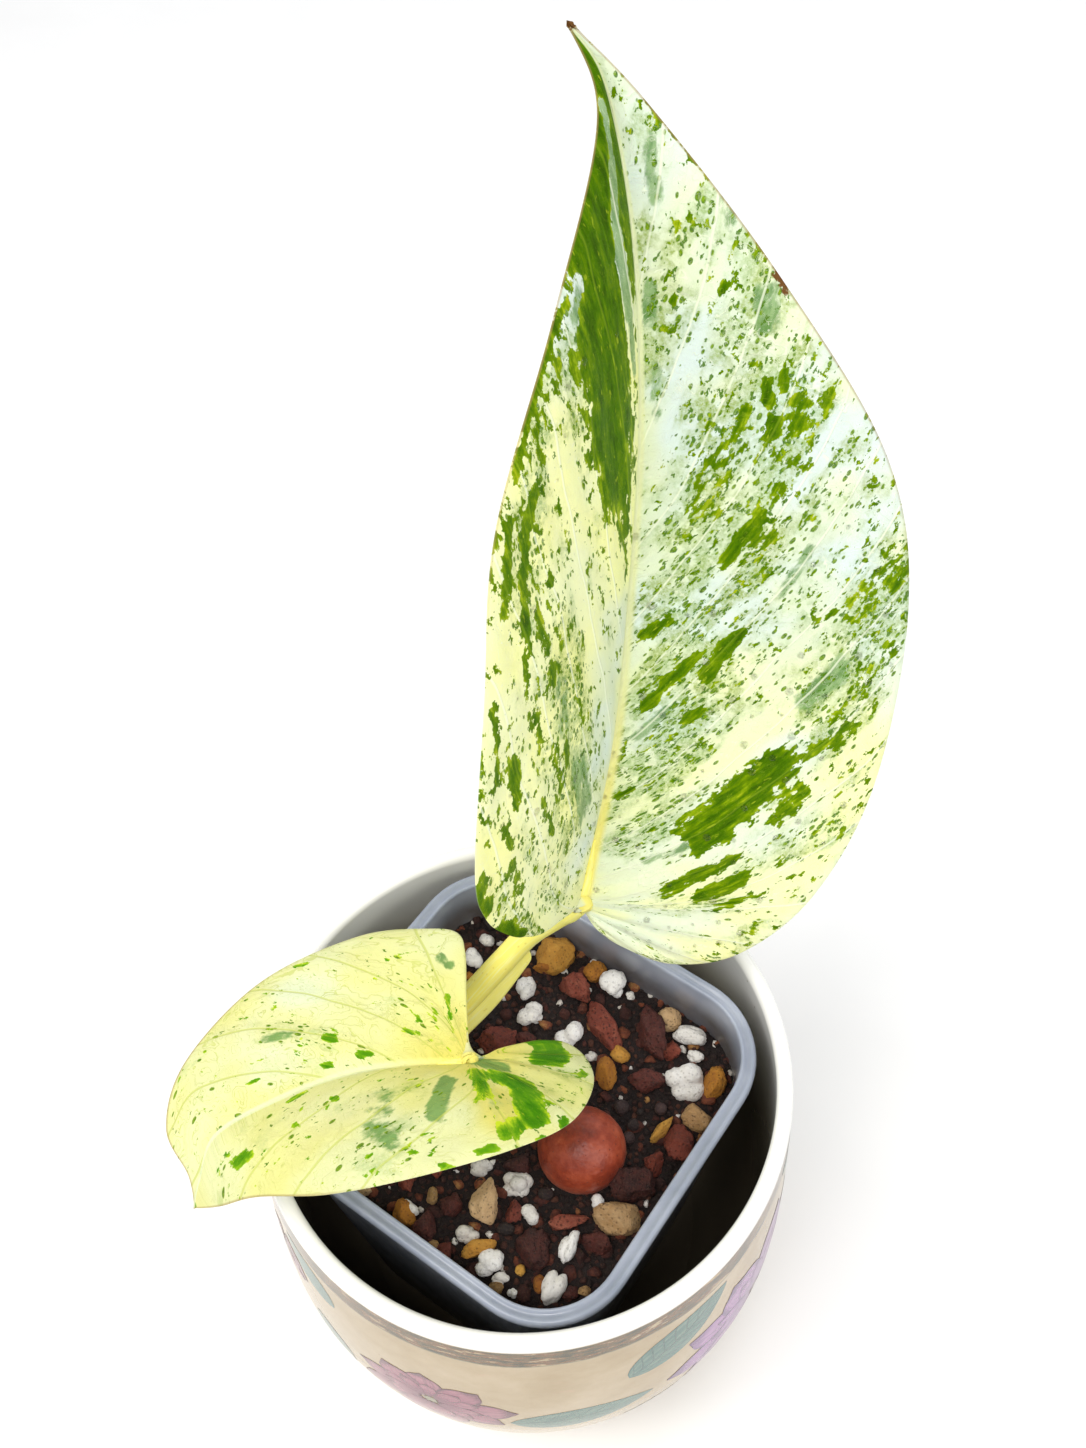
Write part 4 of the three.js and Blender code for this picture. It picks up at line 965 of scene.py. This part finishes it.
def all_stones():
    """The shown stones by kind, then smaller ones drawn at random in the room that is left"""
    placed, taken = [], []
    for kind, rows in STONES.items():
        for x, y, long, wide, turn in rows:
            x, y = inside_square(x, y, (long + wide) / 4)
            placed.append((kind, x, y, long, wide, turn))
            taken.append((x, y, (long + wide) / 4))
    taken += [(BALL_PLACE[0], BALL_PLACE[1], BALL_RADIUS), (STEM_PATH[3][0], STEM_PATH[3][1], 4)]
    roll, drawn = dice(FILL_SEED), 0
    for _ in range(FILL_TRIES):
        long = mix(FILL_LARGE, FILL_SMALL, math.sqrt(next(roll)))
        wide = long * mix(0.65, 1, next(roll))
        size, reach = (long + wide) / 4, 2 * SOIL_HALF
        at = place_square(((next(roll) - 0.5) * reach, (next(roll) - 0.5) * reach, 0))
        x, y = inside_square(at[0], at[1], size)
        turn = 360 * next(roll)
        if all(math.hypot(a - x, b - y) > (r + size) * FILL_ROOM for a, b, r in taken):
            taken.append((x, y, size))
            placed.append((FILL_KINDS[drawn % len(FILL_KINDS)], x, y, long, wide, turn))
            drawn += 1
    for kind, rows in SHOWN_TINY.items():
        placed += [(kind, *inside_square(x, y, 1), long, wide, turn) for x, y, long, wide, turn in rows]
    return placed


def round_mesh(level):
    work = bmesh.new()
    bmesh.ops.create_icosphere(work, subdivisions=level, radius=1)
    points = np.array([v.co for v in work.verts])
    faces = [[v.index for v in face.verts] for face in work.faces]
    work.free()
    return points, faces


def chipped(points, roll, cuts, low, high):
    """Flattens a lump where chance planes cut it, as broken stone has facets"""
    for _ in range(cuts):
        normal = unit([next(roll) - 0.5, next(roll) - 0.5, next(roll) - 0.35])
        past = np.maximum(0, points @ normal - mix(low, high, next(roll)))
        points = points - 0.93 * past[:, None] * normal
    return points


def lump(kind, points, roll):
    """The form of one stone of a kind, about 1 in radius"""
    seed = 60 * next(roll)
    if kind == "perlite":
        reach = np.full(len(points), 0.5)
        for _ in range(7):
            centre, radius = unit([next(roll) - 0.5 for _ in range(3)]) * 0.5, mix(0.45, 0.68, next(roll))
            along = points @ centre
            inside = radius**2 - (centre @ centre - along**2)
            reach = np.maximum(reach, np.where(inside > 0, along + np.sqrt(np.maximum(inside, 0)), 0))
        rough = np.array([fractal(p, 0.34, seed) for p in points])
        return points * (reach * (1 + 0.07 * rough))[:, None]
    swell, chip, rough_by = {
        "lava": (0.3, (9, 0.45, 0.8), 0.13), "ochre": (0.22, (5, 0.6, 0.9), 0.06),
        "tan": (0.22, (6, 0.58, 0.85), 0.07), "grain": (0.06, (1, 0.9, 0.95), 0.01)}[kind]
    broad = np.array([fractal(p, 1.1, seed) for p in points])
    points = chipped(points * (1 + swell * broad)[:, None], roll, *chip)
    rough = np.array([fractal(p, 0.26, seed + 5) for p in points])
    return points * (1 + rough_by * rough)[:, None]


def make_stones():
    kinds = {
        "perlite": mineral("expanded_perlite", [(0.2, "#d9d3ca"), (0.5, "#efebe5"), (0.8, "#faf8f5")],
                           0.25, 0.95, "#c9b7a4", 0.3),
        "ochre": mineral("ochre_pumice", [(0.15, "#8a4f16"), (0.45, "#b3761f"), (0.8, "#cd9a42")], 0.35),
        "tan": mineral("tan_pumice", [(0.15, "#8a6a3c"), (0.45, "#b28a5a"), (0.8, "#d3b083")],
                       0.4, dust="#e2cfb4"),
        "lava": mineral("lava_grit", [
            (0.1, "#2b110d"), (0.4, "#552117"), (0.65, "#7a3422"), (0.9, "#985540")], 0.6, 0.62),
        "grain": mineral("burnt_clay_grain", [(0.2, "#1b1210"), (0.6, "#2e201f"), (0.9, "#4a3634")],
                         0.2, 0.6),
    }
    fine, plain = round_mesh(4), round_mesh(3)
    shapes, tints = {kind: [] for kind in kinds}, {kind: [] for kind in kinds}
    roll = dice(FILL_SEED + 1)
    for kind, x, y, long, wide, turn in all_stones():
        points, faces = fine if long > 4.4 or kind == "perlite" else plain
        form = lump(kind, points, roll)
        form = form / np.abs(form).max(axis=0)
        tall = (long + wide) * 0.46
        form = form * (long / 2, wide / 2, tall / 2)
        c, s = math.cos(math.radians(turn)), math.sin(math.radians(turn))
        form = form @ np.array([(c, s, 0), (-s, c, 0), (0, 0, 1)])
        shapes[kind].append((form + (x, y, SOIL + ground(x, y) + tall * 0.16), faces))
        tints[kind].append(np.full(len(form), next(roll)))
    for kind, some in shapes.items():
        piece(kind + "_stones", joined(some), kinds[kind], ["potting_mix"],
              {"tint": np.concatenate(tints[kind])})


def mix_top(rings=46):
    """The top of the mix as rings of a rounded square, from its edge to its middle"""
    shares = np.linspace(1, 0.02, rings)
    edge = rounded_square(BED_SIDE, BED_CORNER, 0, 16)
    loops = []
    for share in shares:
        loop = place_square(edge * (share, share, 1))
        rough = [0.5 * fractal(p, 2.6, 4) + 0.3 * fractal(p, 0.9, 9) for p in loop]
        loop[:, 2] = SOIL - 0.5 + ground(loop[:, 0], loop[:, 1]) + rough
        loops.append(loop)
    return loops


def make_potting_mix():
    soil = mineral("damp_fines", [(0.2, "#0e0706"), (0.5, "#1d0e0b"), (0.8, "#331a13")], 0.4, dusty=0.1)
    top = mix_top()
    sides = [place_square(rounded_square(BED_SIDE * share, BED_CORNER * share, height, 16))
             for height, share in [(7.3, 0.78), (28, 0.85), (48, 0.92), (66, 0.985)]]
    bed = loft([*sides, *top])
    piece("fines_bed", bed, soil, ["potting_mix"], {"tint": np.full(len(bed[0]), 0.4)})

    # Grit scattered over the bed, clear of the stem and of the clay ball
    loops = np.array(top)
    flat = loops.reshape(-1, 3)
    away_ball = np.hypot(flat[:, 0] - BALL_PLACE[0], flat[:, 1] - BALL_PLACE[1]) > BALL_RADIUS - 1
    away_stem = np.hypot(flat[:, 0] - STEM_PATH[3][0], flat[:, 1] - STEM_PATH[3][1]) > 3.6
    carrier = mesh_of("mix_top", flat, grid_faces(*loops.shape[:2], closed=True))
    note(carrier, "room", away_ball & away_stem)
    roll = dice(5)
    points, faces = round_mesh(2)
    shapes = [(lump("lava", points, roll), faces) for _ in range(5)]
    sizes = {
        "fine_grit": (1.3, 0.4, 0.9, 1, [
            (0.1, "#0e0605"), (0.45, "#1f0d09"), (0.7, "#3c1b12"), (0.95, "#5c3520")]),
        "coarse_grit": (3.9, 0.8, 1.9, 2, [
            (0.1, "#1c0c09"), (0.45, "#451a11"), (0.7, "#7a3e22"), (0.9, "#b0854c")]),
        "perlite_crumbs": (6.5, 0.5, 1.1, 8, [(0.1, "#cfc6bb"), (0.6, "#efeae3")]),
    }
    layers = {name: (gap, smallest, largest, 2 * math.pi, seed, mineral(name, stops, 0.3))
              for name, (gap, smallest, largest, seed, stops) in sizes.items()}
    scatter(carrier, shapes, layers, ["potting_mix"])


def make_clay_ball():
    points, faces = round_mesh(6)
    swell = np.array([1 + 0.012 * fractal(p, 0.5, 2) + 0.004 * fractal(p, 0.12, 3) for p in points]) - 0.008
    form = points * swell[:, None] * BALL_RADIUS * (1, 0.97, 0.95) + BALL_PLACE
    piece("clay_ball", (form, faces), fired_clay(), ["clay_ball"])


def blade_axes(leaf):
    """A blade's own axes: along it, across it and out of its face"""
    along = unit(np.subtract(leaf["tip"], leaf["base"]))
    facing = np.asarray(leaf["facing"], float)
    face = unit(facing - along * (facing @ along))
    return np.array([along, np.cross(along, face), face])


# Stalks
def skinned(path, radius_at, sides=24, steps=60):
    """A round bar along a curve with a rounded end, the coordinates in millimetres that its fibres follow,
    and its share of the way up"""
    spine = even(path, steps + 1)
    ahead = np.gradient(spine, axis=0)
    ahead /= np.linalg.norm(ahead, axis=1)[:, None]
    side = np.cross(ahead[0], (0.3, 0.2, 1))
    angles = np.linspace(0, 2 * math.pi, sides, endpoint=False)
    loops = []
    for centre, forward, t in zip(spine, ahead, np.linspace(0, 1, steps + 1)):
        side = unit(side - forward * (side @ forward))
        other = np.cross(forward, side)
        ring = np.outer(np.cos(angles), side) + np.outer(np.sin(angles), other)
        loops.append(centre + radius_at(t) * ring)
    for lift, share in ((0.3, 0.93), (0.5, 0.72), (0.6, 0.4)):
        loops.append(spine[-1] + ahead[-1] * radius_at(1) * lift + (loops[steps] - spine[-1]) * share)
    length = np.linalg.norm(np.diff(spine, axis=0), axis=1).sum()
    up = np.minimum(np.arange(len(loops)) / steps, 1)
    radius = np.array([radius_at(t) for t in up])[:, None]
    run = np.repeat(up[:, None] * length, sides, axis=1)
    skin = np.stack([radius * np.cos(angles), radius * np.sin(angles), run], axis=-1).reshape(-1, 3)
    return loft(loops), np.vstack([skin, skin[:1], skin[-1:]]), np.r_[np.repeat(up, sides), 0, 1]


def stalk(name, material, parts):
    shapes, skins, shares = zip(*parts)
    data = {"skin": np.vstack(skins), "share": np.concatenate(shares)}
    piece(name, joined(shapes), material, [name], data)


def make_stem():
    parts = [skinned(STEM_PATH, lambda t: STEM_RADIUS + 0.5 * math.exp(-(((t - 0.84) / 0.06) ** 2)), 28, 70)]
    x, y, z = STEM_PATH[1]
    for n in range(ROOT_COUNT):
        angle, top = n / ROOT_COUNT * 2 * math.pi + 0.4, z - 2 - 3.2 * n
        path = [(x + math.cos(angle + t * 0.6) * ROOT_SPREAD * t,
                 y + math.sin(angle + t * 0.6) * ROOT_SPREAD * t,
                 top - ROOT_LENGTH * t * t * 0.8) for t in (0, 0.35, 0.7, 1)]
        parts.append(skinned(path, lambda t: ROOT_RADIUS * (1 - 0.45 * t), 10, 20))
    stalk("stem", stalk_skin("stem_skin", "#8a7b4c", "#b8bd62", "#7d6a3c"), parts)


def make_petiole(name, spec, material, extra):
    def radius_at(t):
        foot = (spec["foot"] - spec["waist"]) * math.exp(-((t / 0.12) ** 2))
        knee = 0.25 * math.exp(-(((t - 0.95) / 0.035) ** 2))
        return mix(spec["waist"], spec["top"], t) + foot + knee
    stalk(name, material, [skinned(spec["path"], radius_at), *extra])


def taper(stalk_spec, leaf, reach):
    """The end of a petiole, which runs out along the foot of the midrib"""
    axes = blade_axes(leaf)
    rib = curve(leaf["midrib"], np.linspace(0, 1, 200))
    path, top = [stalk_spec["path"][-1]], stalk_spec["top"]
    for x in (reach * 0.3, reach * 0.65, reach):
        y, z = (np.interp(x, rib[:, 0], rib[:, n]) for n in (1, 2))
        path.append(np.asarray(leaf["base"]) + axes.T @ (x, y, z - 0.25))
    shape, skin, share = skinned(path, lambda t: mix(top * 0.98, 0.3, t**0.8), 20, 30)
    return shape, skin, np.ones(len(share))


def sheath():
    """The thin wing that wraps the lower part of the large petiole and ends in a rounded tip"""
    spine = even(PETIOLE_LARGE["path"], 201)
    run = np.linspace(0, 1, 201)
    lean, steps, ribs = unit(SHEATH["lean"]), 60, 12
    loops, skin = [], []
    for n in range(steps + 1):
        u = n / steps
        t = mix(SHEATH["from"], SHEATH["to"], u)
        centre, before, after = (np.array([np.interp(at, run, spine[:, axis]) for axis in range(3)])
                                 for at in (t, t - 0.01, t + 0.01))
        ahead = unit(after - before)
        out = unit(lean - ahead * (lean @ ahead))
        side = np.cross(ahead, out)
        tip = math.sqrt(max(0, 1 - (max(0, u - 0.9) / 0.1) ** 2))
        reach = max(0.9, SHEATH["reach"] * (1 - 0.35 * u * u) * mix(0.35, 1, tip))
        r = np.linspace(0.6, reach, ribs)
        half = SHEATH["thick"] / 2 * (1 - 0.65 * (r / reach) ** 2)
        wave = 0.05 * r * r + 0.16 * (r / reach) ** 3 * math.sin(9 * u + 1)
        front = [centre + out * a + side * (w + h) for a, w, h in zip(r, wave, half)]
        back = [centre + out * a + side * (w - h) for a, w, h in zip(r[::-1], wave[::-1], half[::-1])]
        loops.append(front + back)
        skin.append([(a, 0, 40 * u) for a in [*r, *r[::-1]]])
    shape = loft(loops)
    skin = np.array(skin).reshape(-1, 3)
    return shape, np.vstack([skin, skin[:1], skin[-1:]]), np.ones(len(shape[0]))


# Blades
def vein_flow(x, d, length, hand, edge):
    """A point's distances across the side veins, told apart edge mm out from the midrib, and along them"""
    size = length / LEAF_LARGE["length"]
    turn = 1.0 if hand == "right" else 1.6
    x, d = np.array(x, float), np.array(d, float)
    along = np.hypot(x, d)
    step = (edge - d) / 60
    for _ in range(60):
        x += step * (np.interp(x / size, VEIN_PLACES, VEIN_LEANS) * turn + np.minimum(x, 0) / (d + 1.5))
        d += step
    ends = np.linspace(-400, 400, 2000) * size
    lean = np.interp(ends / size, VEIN_PLACES, VEIN_LEANS) * turn + np.minimum(ends, 0) / edge
    apart = np.cumsum(1 / np.sqrt(1 + lean**2)) * (ends[1] - ends[0])
    return np.interp(x, ends, apart), along


def covered(x, d, marks):
    """How strongly marks cover each point: full in a mark's middle, 0 past one and a half times its reach"""
    share = np.zeros(x.shape)
    for x1, d1, x2, d2, width, strength in marks:
        across, out = x2 - x1, d2 - d1
        t = np.clip(((x - x1) * across + (d - d1) * out) / max(across**2 + out**2, 1e-9), 0, 1)
        away = np.hypot(x - x1 - t * across, d - d1 - t * out) / (width / 2)
        share = np.maximum(share, strength * np.clip((1.6 - away) / 1.1, 0, 1))
    return share


def half_blade(leaf, hand, steps, rows):
    """One half of a blade's middle surface, ruled from the midrib to the margin, in the blade's own frame"""
    s = np.linspace(0, 1, steps + 1)
    t = np.maximum(0, (s - FAN) / (1 - FAN)) ** LAG
    rib, end = curve(leaf["midrib"], t), leaf["midrib"][-1]
    margin = curve([(0, 0, 0), *leaf[hand], end], s)
    q = np.linspace(0, 1, rows + 1) ** 1.3
    reach = np.linalg.norm(margin - rib, axis=1)
    keep = 1 - np.minimum(0.5, 0.25 / np.maximum(reach, 1e-6))
    points = rib[:, None] + (margin - rib)[:, None] * (q[None, :, None] * keep[:, None, None])
    points[..., 2] += leaf["arch"] * reach[:, None] * 4 * q * (1 - q)
    return points, reach[:, None] * (1 - q)


def half_skin(leaf, key, hand, steps, rows):
    """One half of a blade: its points, how far each is raised, and the values that its skin reads"""
    points, edge = half_blade(leaf, hand, steps, rows)
    x, length = points[..., 0], leaf["length"]
    spine = curve(leaf["midrib"], np.linspace(0, 1, 300))
    rib_y, rib_z = (np.interp(x, spine[:, 0], spine[:, n]) for n in (1, 2))
    d = np.hypot(points[..., 1] - rib_y, points[..., 2] - rib_z)
    from_rib = np.hypot(d, np.minimum(x, 0))
    meet, run = vein_flow(x, d, length, hand, VEIN_EDGE[key])
    ahead = np.clip(x / length, 0, 1)
    vein = np.abs((meet / VEIN_PITCH) % 1 - 0.5) * VEIN_PITCH
    quilt = 0.35 * fade(vein, 0, 4.4) * (fade(from_rib, 1.5, 6) * fade(edge, 0, 3))
    channel = -0.55 * np.exp(-((from_rib / 1.3) ** 2)) * (1 - 0.7 * ahead)
    billow = np.array([fractal((a, b, 0), 26, 3 if hand == "right" else 6, 2)
                       for a, b in zip(x.ravel(), d.ravel())]).reshape(x.shape)
    wave = quilt + channel + 0.9 * billow * fade(from_rib, 4, 22) * fade(edge, 0, 8)

    least_dark, margin_dark, least_haze = BASE_SHARES[key, hand]
    dark = np.maximum(covered(x, d, DARK[key, hand]), least_dark + margin_dark * fade(14 - edge, 0, 12))
    haze = np.maximum(covered(x, d, HAZE[key, hand]), least_haze) * fade(np.hypot(x, d), 2, 16)
    milky = covered(x, d, MILKY[key, hand])
    if key == "small":
        cream = 0.42 + 0.42 * fade(17 - np.hypot(x, d), 0, 16)
    elif hand == "left":
        cream = 0.14 + 0.42 * fade(112 - x, 0, 22)
    else:
        cream = 0.06 + 0.28 * fade(62 - x, 0, 60) + 0.14 * fade(12 - edge, 0, 12) * fade(84 - x, 0, 40)
    for more, mark in CREAM.get((key, hand), []):
        cream = cream + more * covered(x, d, [mark])
    wear = covered(x, d, SCARS.get((key, hand), []))
    wear = np.maximum(wear, fade(x / length, 0.985, 1.0) * (1.4 if key == "large" else 0.5))
    apart = np.full(x.shape, 100.0 if hand == "left" else 0)  # keeps the two halves' patterns apart
    return points, wave, {
        "flat": np.stack([x, d, apart], axis=-1), "flow": np.stack([meet, run, apart], axis=-1),
        "paint": np.stack([dark, haze, cream, milky], axis=-1), "wear": wear[..., None],
        "form": np.stack([edge, from_rib / mix(leaf["rib"][0], leaf["rib"][1], ahead), ahead], axis=-1)}


def make_blade(key, leaf, material, steps=230, rows=58):
    halves = [half_skin(leaf, key, hand, steps, rows) for hand in ("right", "left")]
    axes = blade_axes(leaf)
    count = (steps + 1) * (rows + 1)
    points = np.asarray(leaf["base"]) + np.concatenate([half[0].reshape(-1, 3) for half in halves]) @ axes
    wave = np.concatenate([half[1].ravel() for half in halves])
    values = {label: np.concatenate([half[2][label].reshape(count, -1) for half in halves])
              for label in halves[0][2]}
    faces = [f[::-1] for f in grid_faces(steps + 1, rows + 1)] + grid_faces(steps + 1, rows + 1, count)
    same = np.unique(np.round(points, 3), axis=0, return_inverse=True)[1].ravel()

    def normals(at, quads):
        turn = np.cross(at[quads[:, 2]] - at[quads[:, 0]], at[quads[:, 3]] - at[quads[:, 1]])
        total = np.zeros((same.max() + 1, 3))
        for corner in range(4):
            np.add.at(total, same[quads[:, corner]], turn)
        total /= np.maximum(np.linalg.norm(total, axis=1), 1e-12)[:, None]
        return total[same]

    out = normals(points, np.array(faces))
    if (out.mean(0) @ axes[2]) < 0:
        out, faces = -out, [f[::-1] for f in faces]
    points = points + out * wave[:, None]
    out = normals(points, np.array(faces))
    edge, from_rib, ahead = values["form"].T
    half = BLADE_THICK / 2 * mix(0.45, 1, fade(edge, 0, 2.5))
    keel = leaf["keel"] * (1 - 0.8 * ahead) * np.exp(-(from_rib**2) / 1.6)
    upper, lower = points + out * half[:, None], points - out * (half + keel)[:, None]
    total = len(points)
    shell = faces + [[n + total for n in f[::-1]] for f in faces]
    rim = [i * (rows + 1) + rows for i in range(steps + 1)]
    rim += [count + i * (rows + 1) + rows for i in range(steps - 1, 0, -1)]
    bulge = points[rim] - points[[n - 1 for n in rim]]
    bulge /= np.maximum(np.linalg.norm(bulge, axis=1), 1e-9)[:, None]
    edge_points = points[rim] + 0.09 * bulge
    for i, n in enumerate(rim):
        after = (i + 1) % len(rim)
        shell.append([n, 2 * total + i, 2 * total + after, rim[after]])
        shell.append([2 * total + i, n + total, rim[after] + total, 2 * total + after])
    data = {label: np.concatenate([flat, flat, flat[rim]]) for label, flat in values.items()}
    data["under"] = np.r_[np.zeros(total), np.ones(total), np.full(len(rim), 0.5)]
    name, shape = "leaf_" + key, (np.vstack([upper, lower, edge_points]), shell)
    piece(name, shape, material, [name], data)
    return upper, faces, edge


def make_drops(upper, faces, edge):
    """Small clear drops on the large blade's face, mostly on its lower right"""
    right = len(upper) // 2
    wet = np.full(len(upper), 0.12)
    wet[:right] = 0.5 * fade(190 - upper[:right, 2], 0, 60)
    carrier = mesh_of("wet_face", upper, faces)
    note(carrier, "room", wet * fade(edge, 2, 4))
    points, drop_faces = round_mesh(3)
    drop = points * (1, 1, 0.42)
    drop[:, 2] = np.maximum(drop[:, 2], -0.06)
    layers = {"water_drops": (4.2, 0.22, 0.75, 0.0, 4, clean_water())}
    scatter(carrier, [(drop, drop_faces)], layers)


# The stage
def add_stage():
    work = bmesh.new()
    bmesh.ops.create_circle(work, cap_ends=True, segments=96, radius=3)
    mesh = bpy.data.meshes.new("floor")
    work.to_mesh(mesh)
    work.free()
    mesh.materials.append(plain_paper())
    floor = show("floor", mesh)
    world = bpy.data.worlds.new("soft_room")
    world.use_nodes = True
    fill(world.node_tree.nodes["Background"], {"Color": "#fbfcff", "Strength": 0.5})
    bpy.context.scene.world = world
    lamps = [
        ("key", (-0.3, -0.25, 1.0), 0.4, 3.6, "#fffaf2"), ("back", (0.35, 0.75, 0.8), 0.6, 2.3, "#f4f8ff"),
        ("front", (0.06, -0.5, 1.15), 0.25, 3.4, "#ffffff"), ("side", (0.7, -0.6, 0.7), 0.6, 3.0, "#ffffff"),
        ("left", (-0.7, -0.1, 0.75), 0.5, 3.0, "#ffffff")]
    for name, place, size, power, tone in lamps:
        light = bpy.data.lights.new(name, "AREA")
        light.size, light.energy, light.color = size, power, srgb(tone)[:3]
        lamp = show(name, light)
        lamp.location = place
        lamp.rotation_euler = (LIT - Vector(place)).to_track_quat("-Z", "Y").to_euler()
    bpy.context.scene.view_settings.view_transform = "Standard"


add_camera()
add_stage()
make_glazed_pot()
make_painting()
make_nursery_pot()
make_potting_mix()
make_stones()
make_clay_ball()
make_stem()
skin = stalk_skin("petiole_skin", "#fff06c", "#fff585", "#e3d15a")
make_petiole("petiole_large", PETIOLE_LARGE, skin, [sheath(), taper(PETIOLE_LARGE, LEAF_LARGE, 12)])
make_petiole("petiole_small", PETIOLE_SMALL, skin, [taper(PETIOLE_SMALL, LEAF_SMALL, 5)])
marbled = leaf_skin(
    "marbled_leaf", "#dde8cc", "#d8e8ec", "#f9fab2", "#eeec72", "#fdf07c", "#86a96c", "#eef2d8",
    [(0.04, "#a3b31a"), (0.16, "#819e08"), (0.28, "#638400"), (0.48, "#477000"), (0.74, "#335600")])
creamy = leaf_skin(
    "cream_leaf", "#dedea6", "#d8e2c8", "#dcda8a", "#d8ca58", "#f6e874", "#669449", "#b6bf52",
    [(0.06, "#c2d42c"), (0.2, "#8db41c"), (0.36, "#5c9410"), (0.6, "#42800a"), (0.85, "#2f6a06")])
wet_face = make_blade("large", LEAF_LARGE, marbled)
make_blade("small", LEAF_SMALL, creamy, 170, 44)
make_drops(*wet_face)
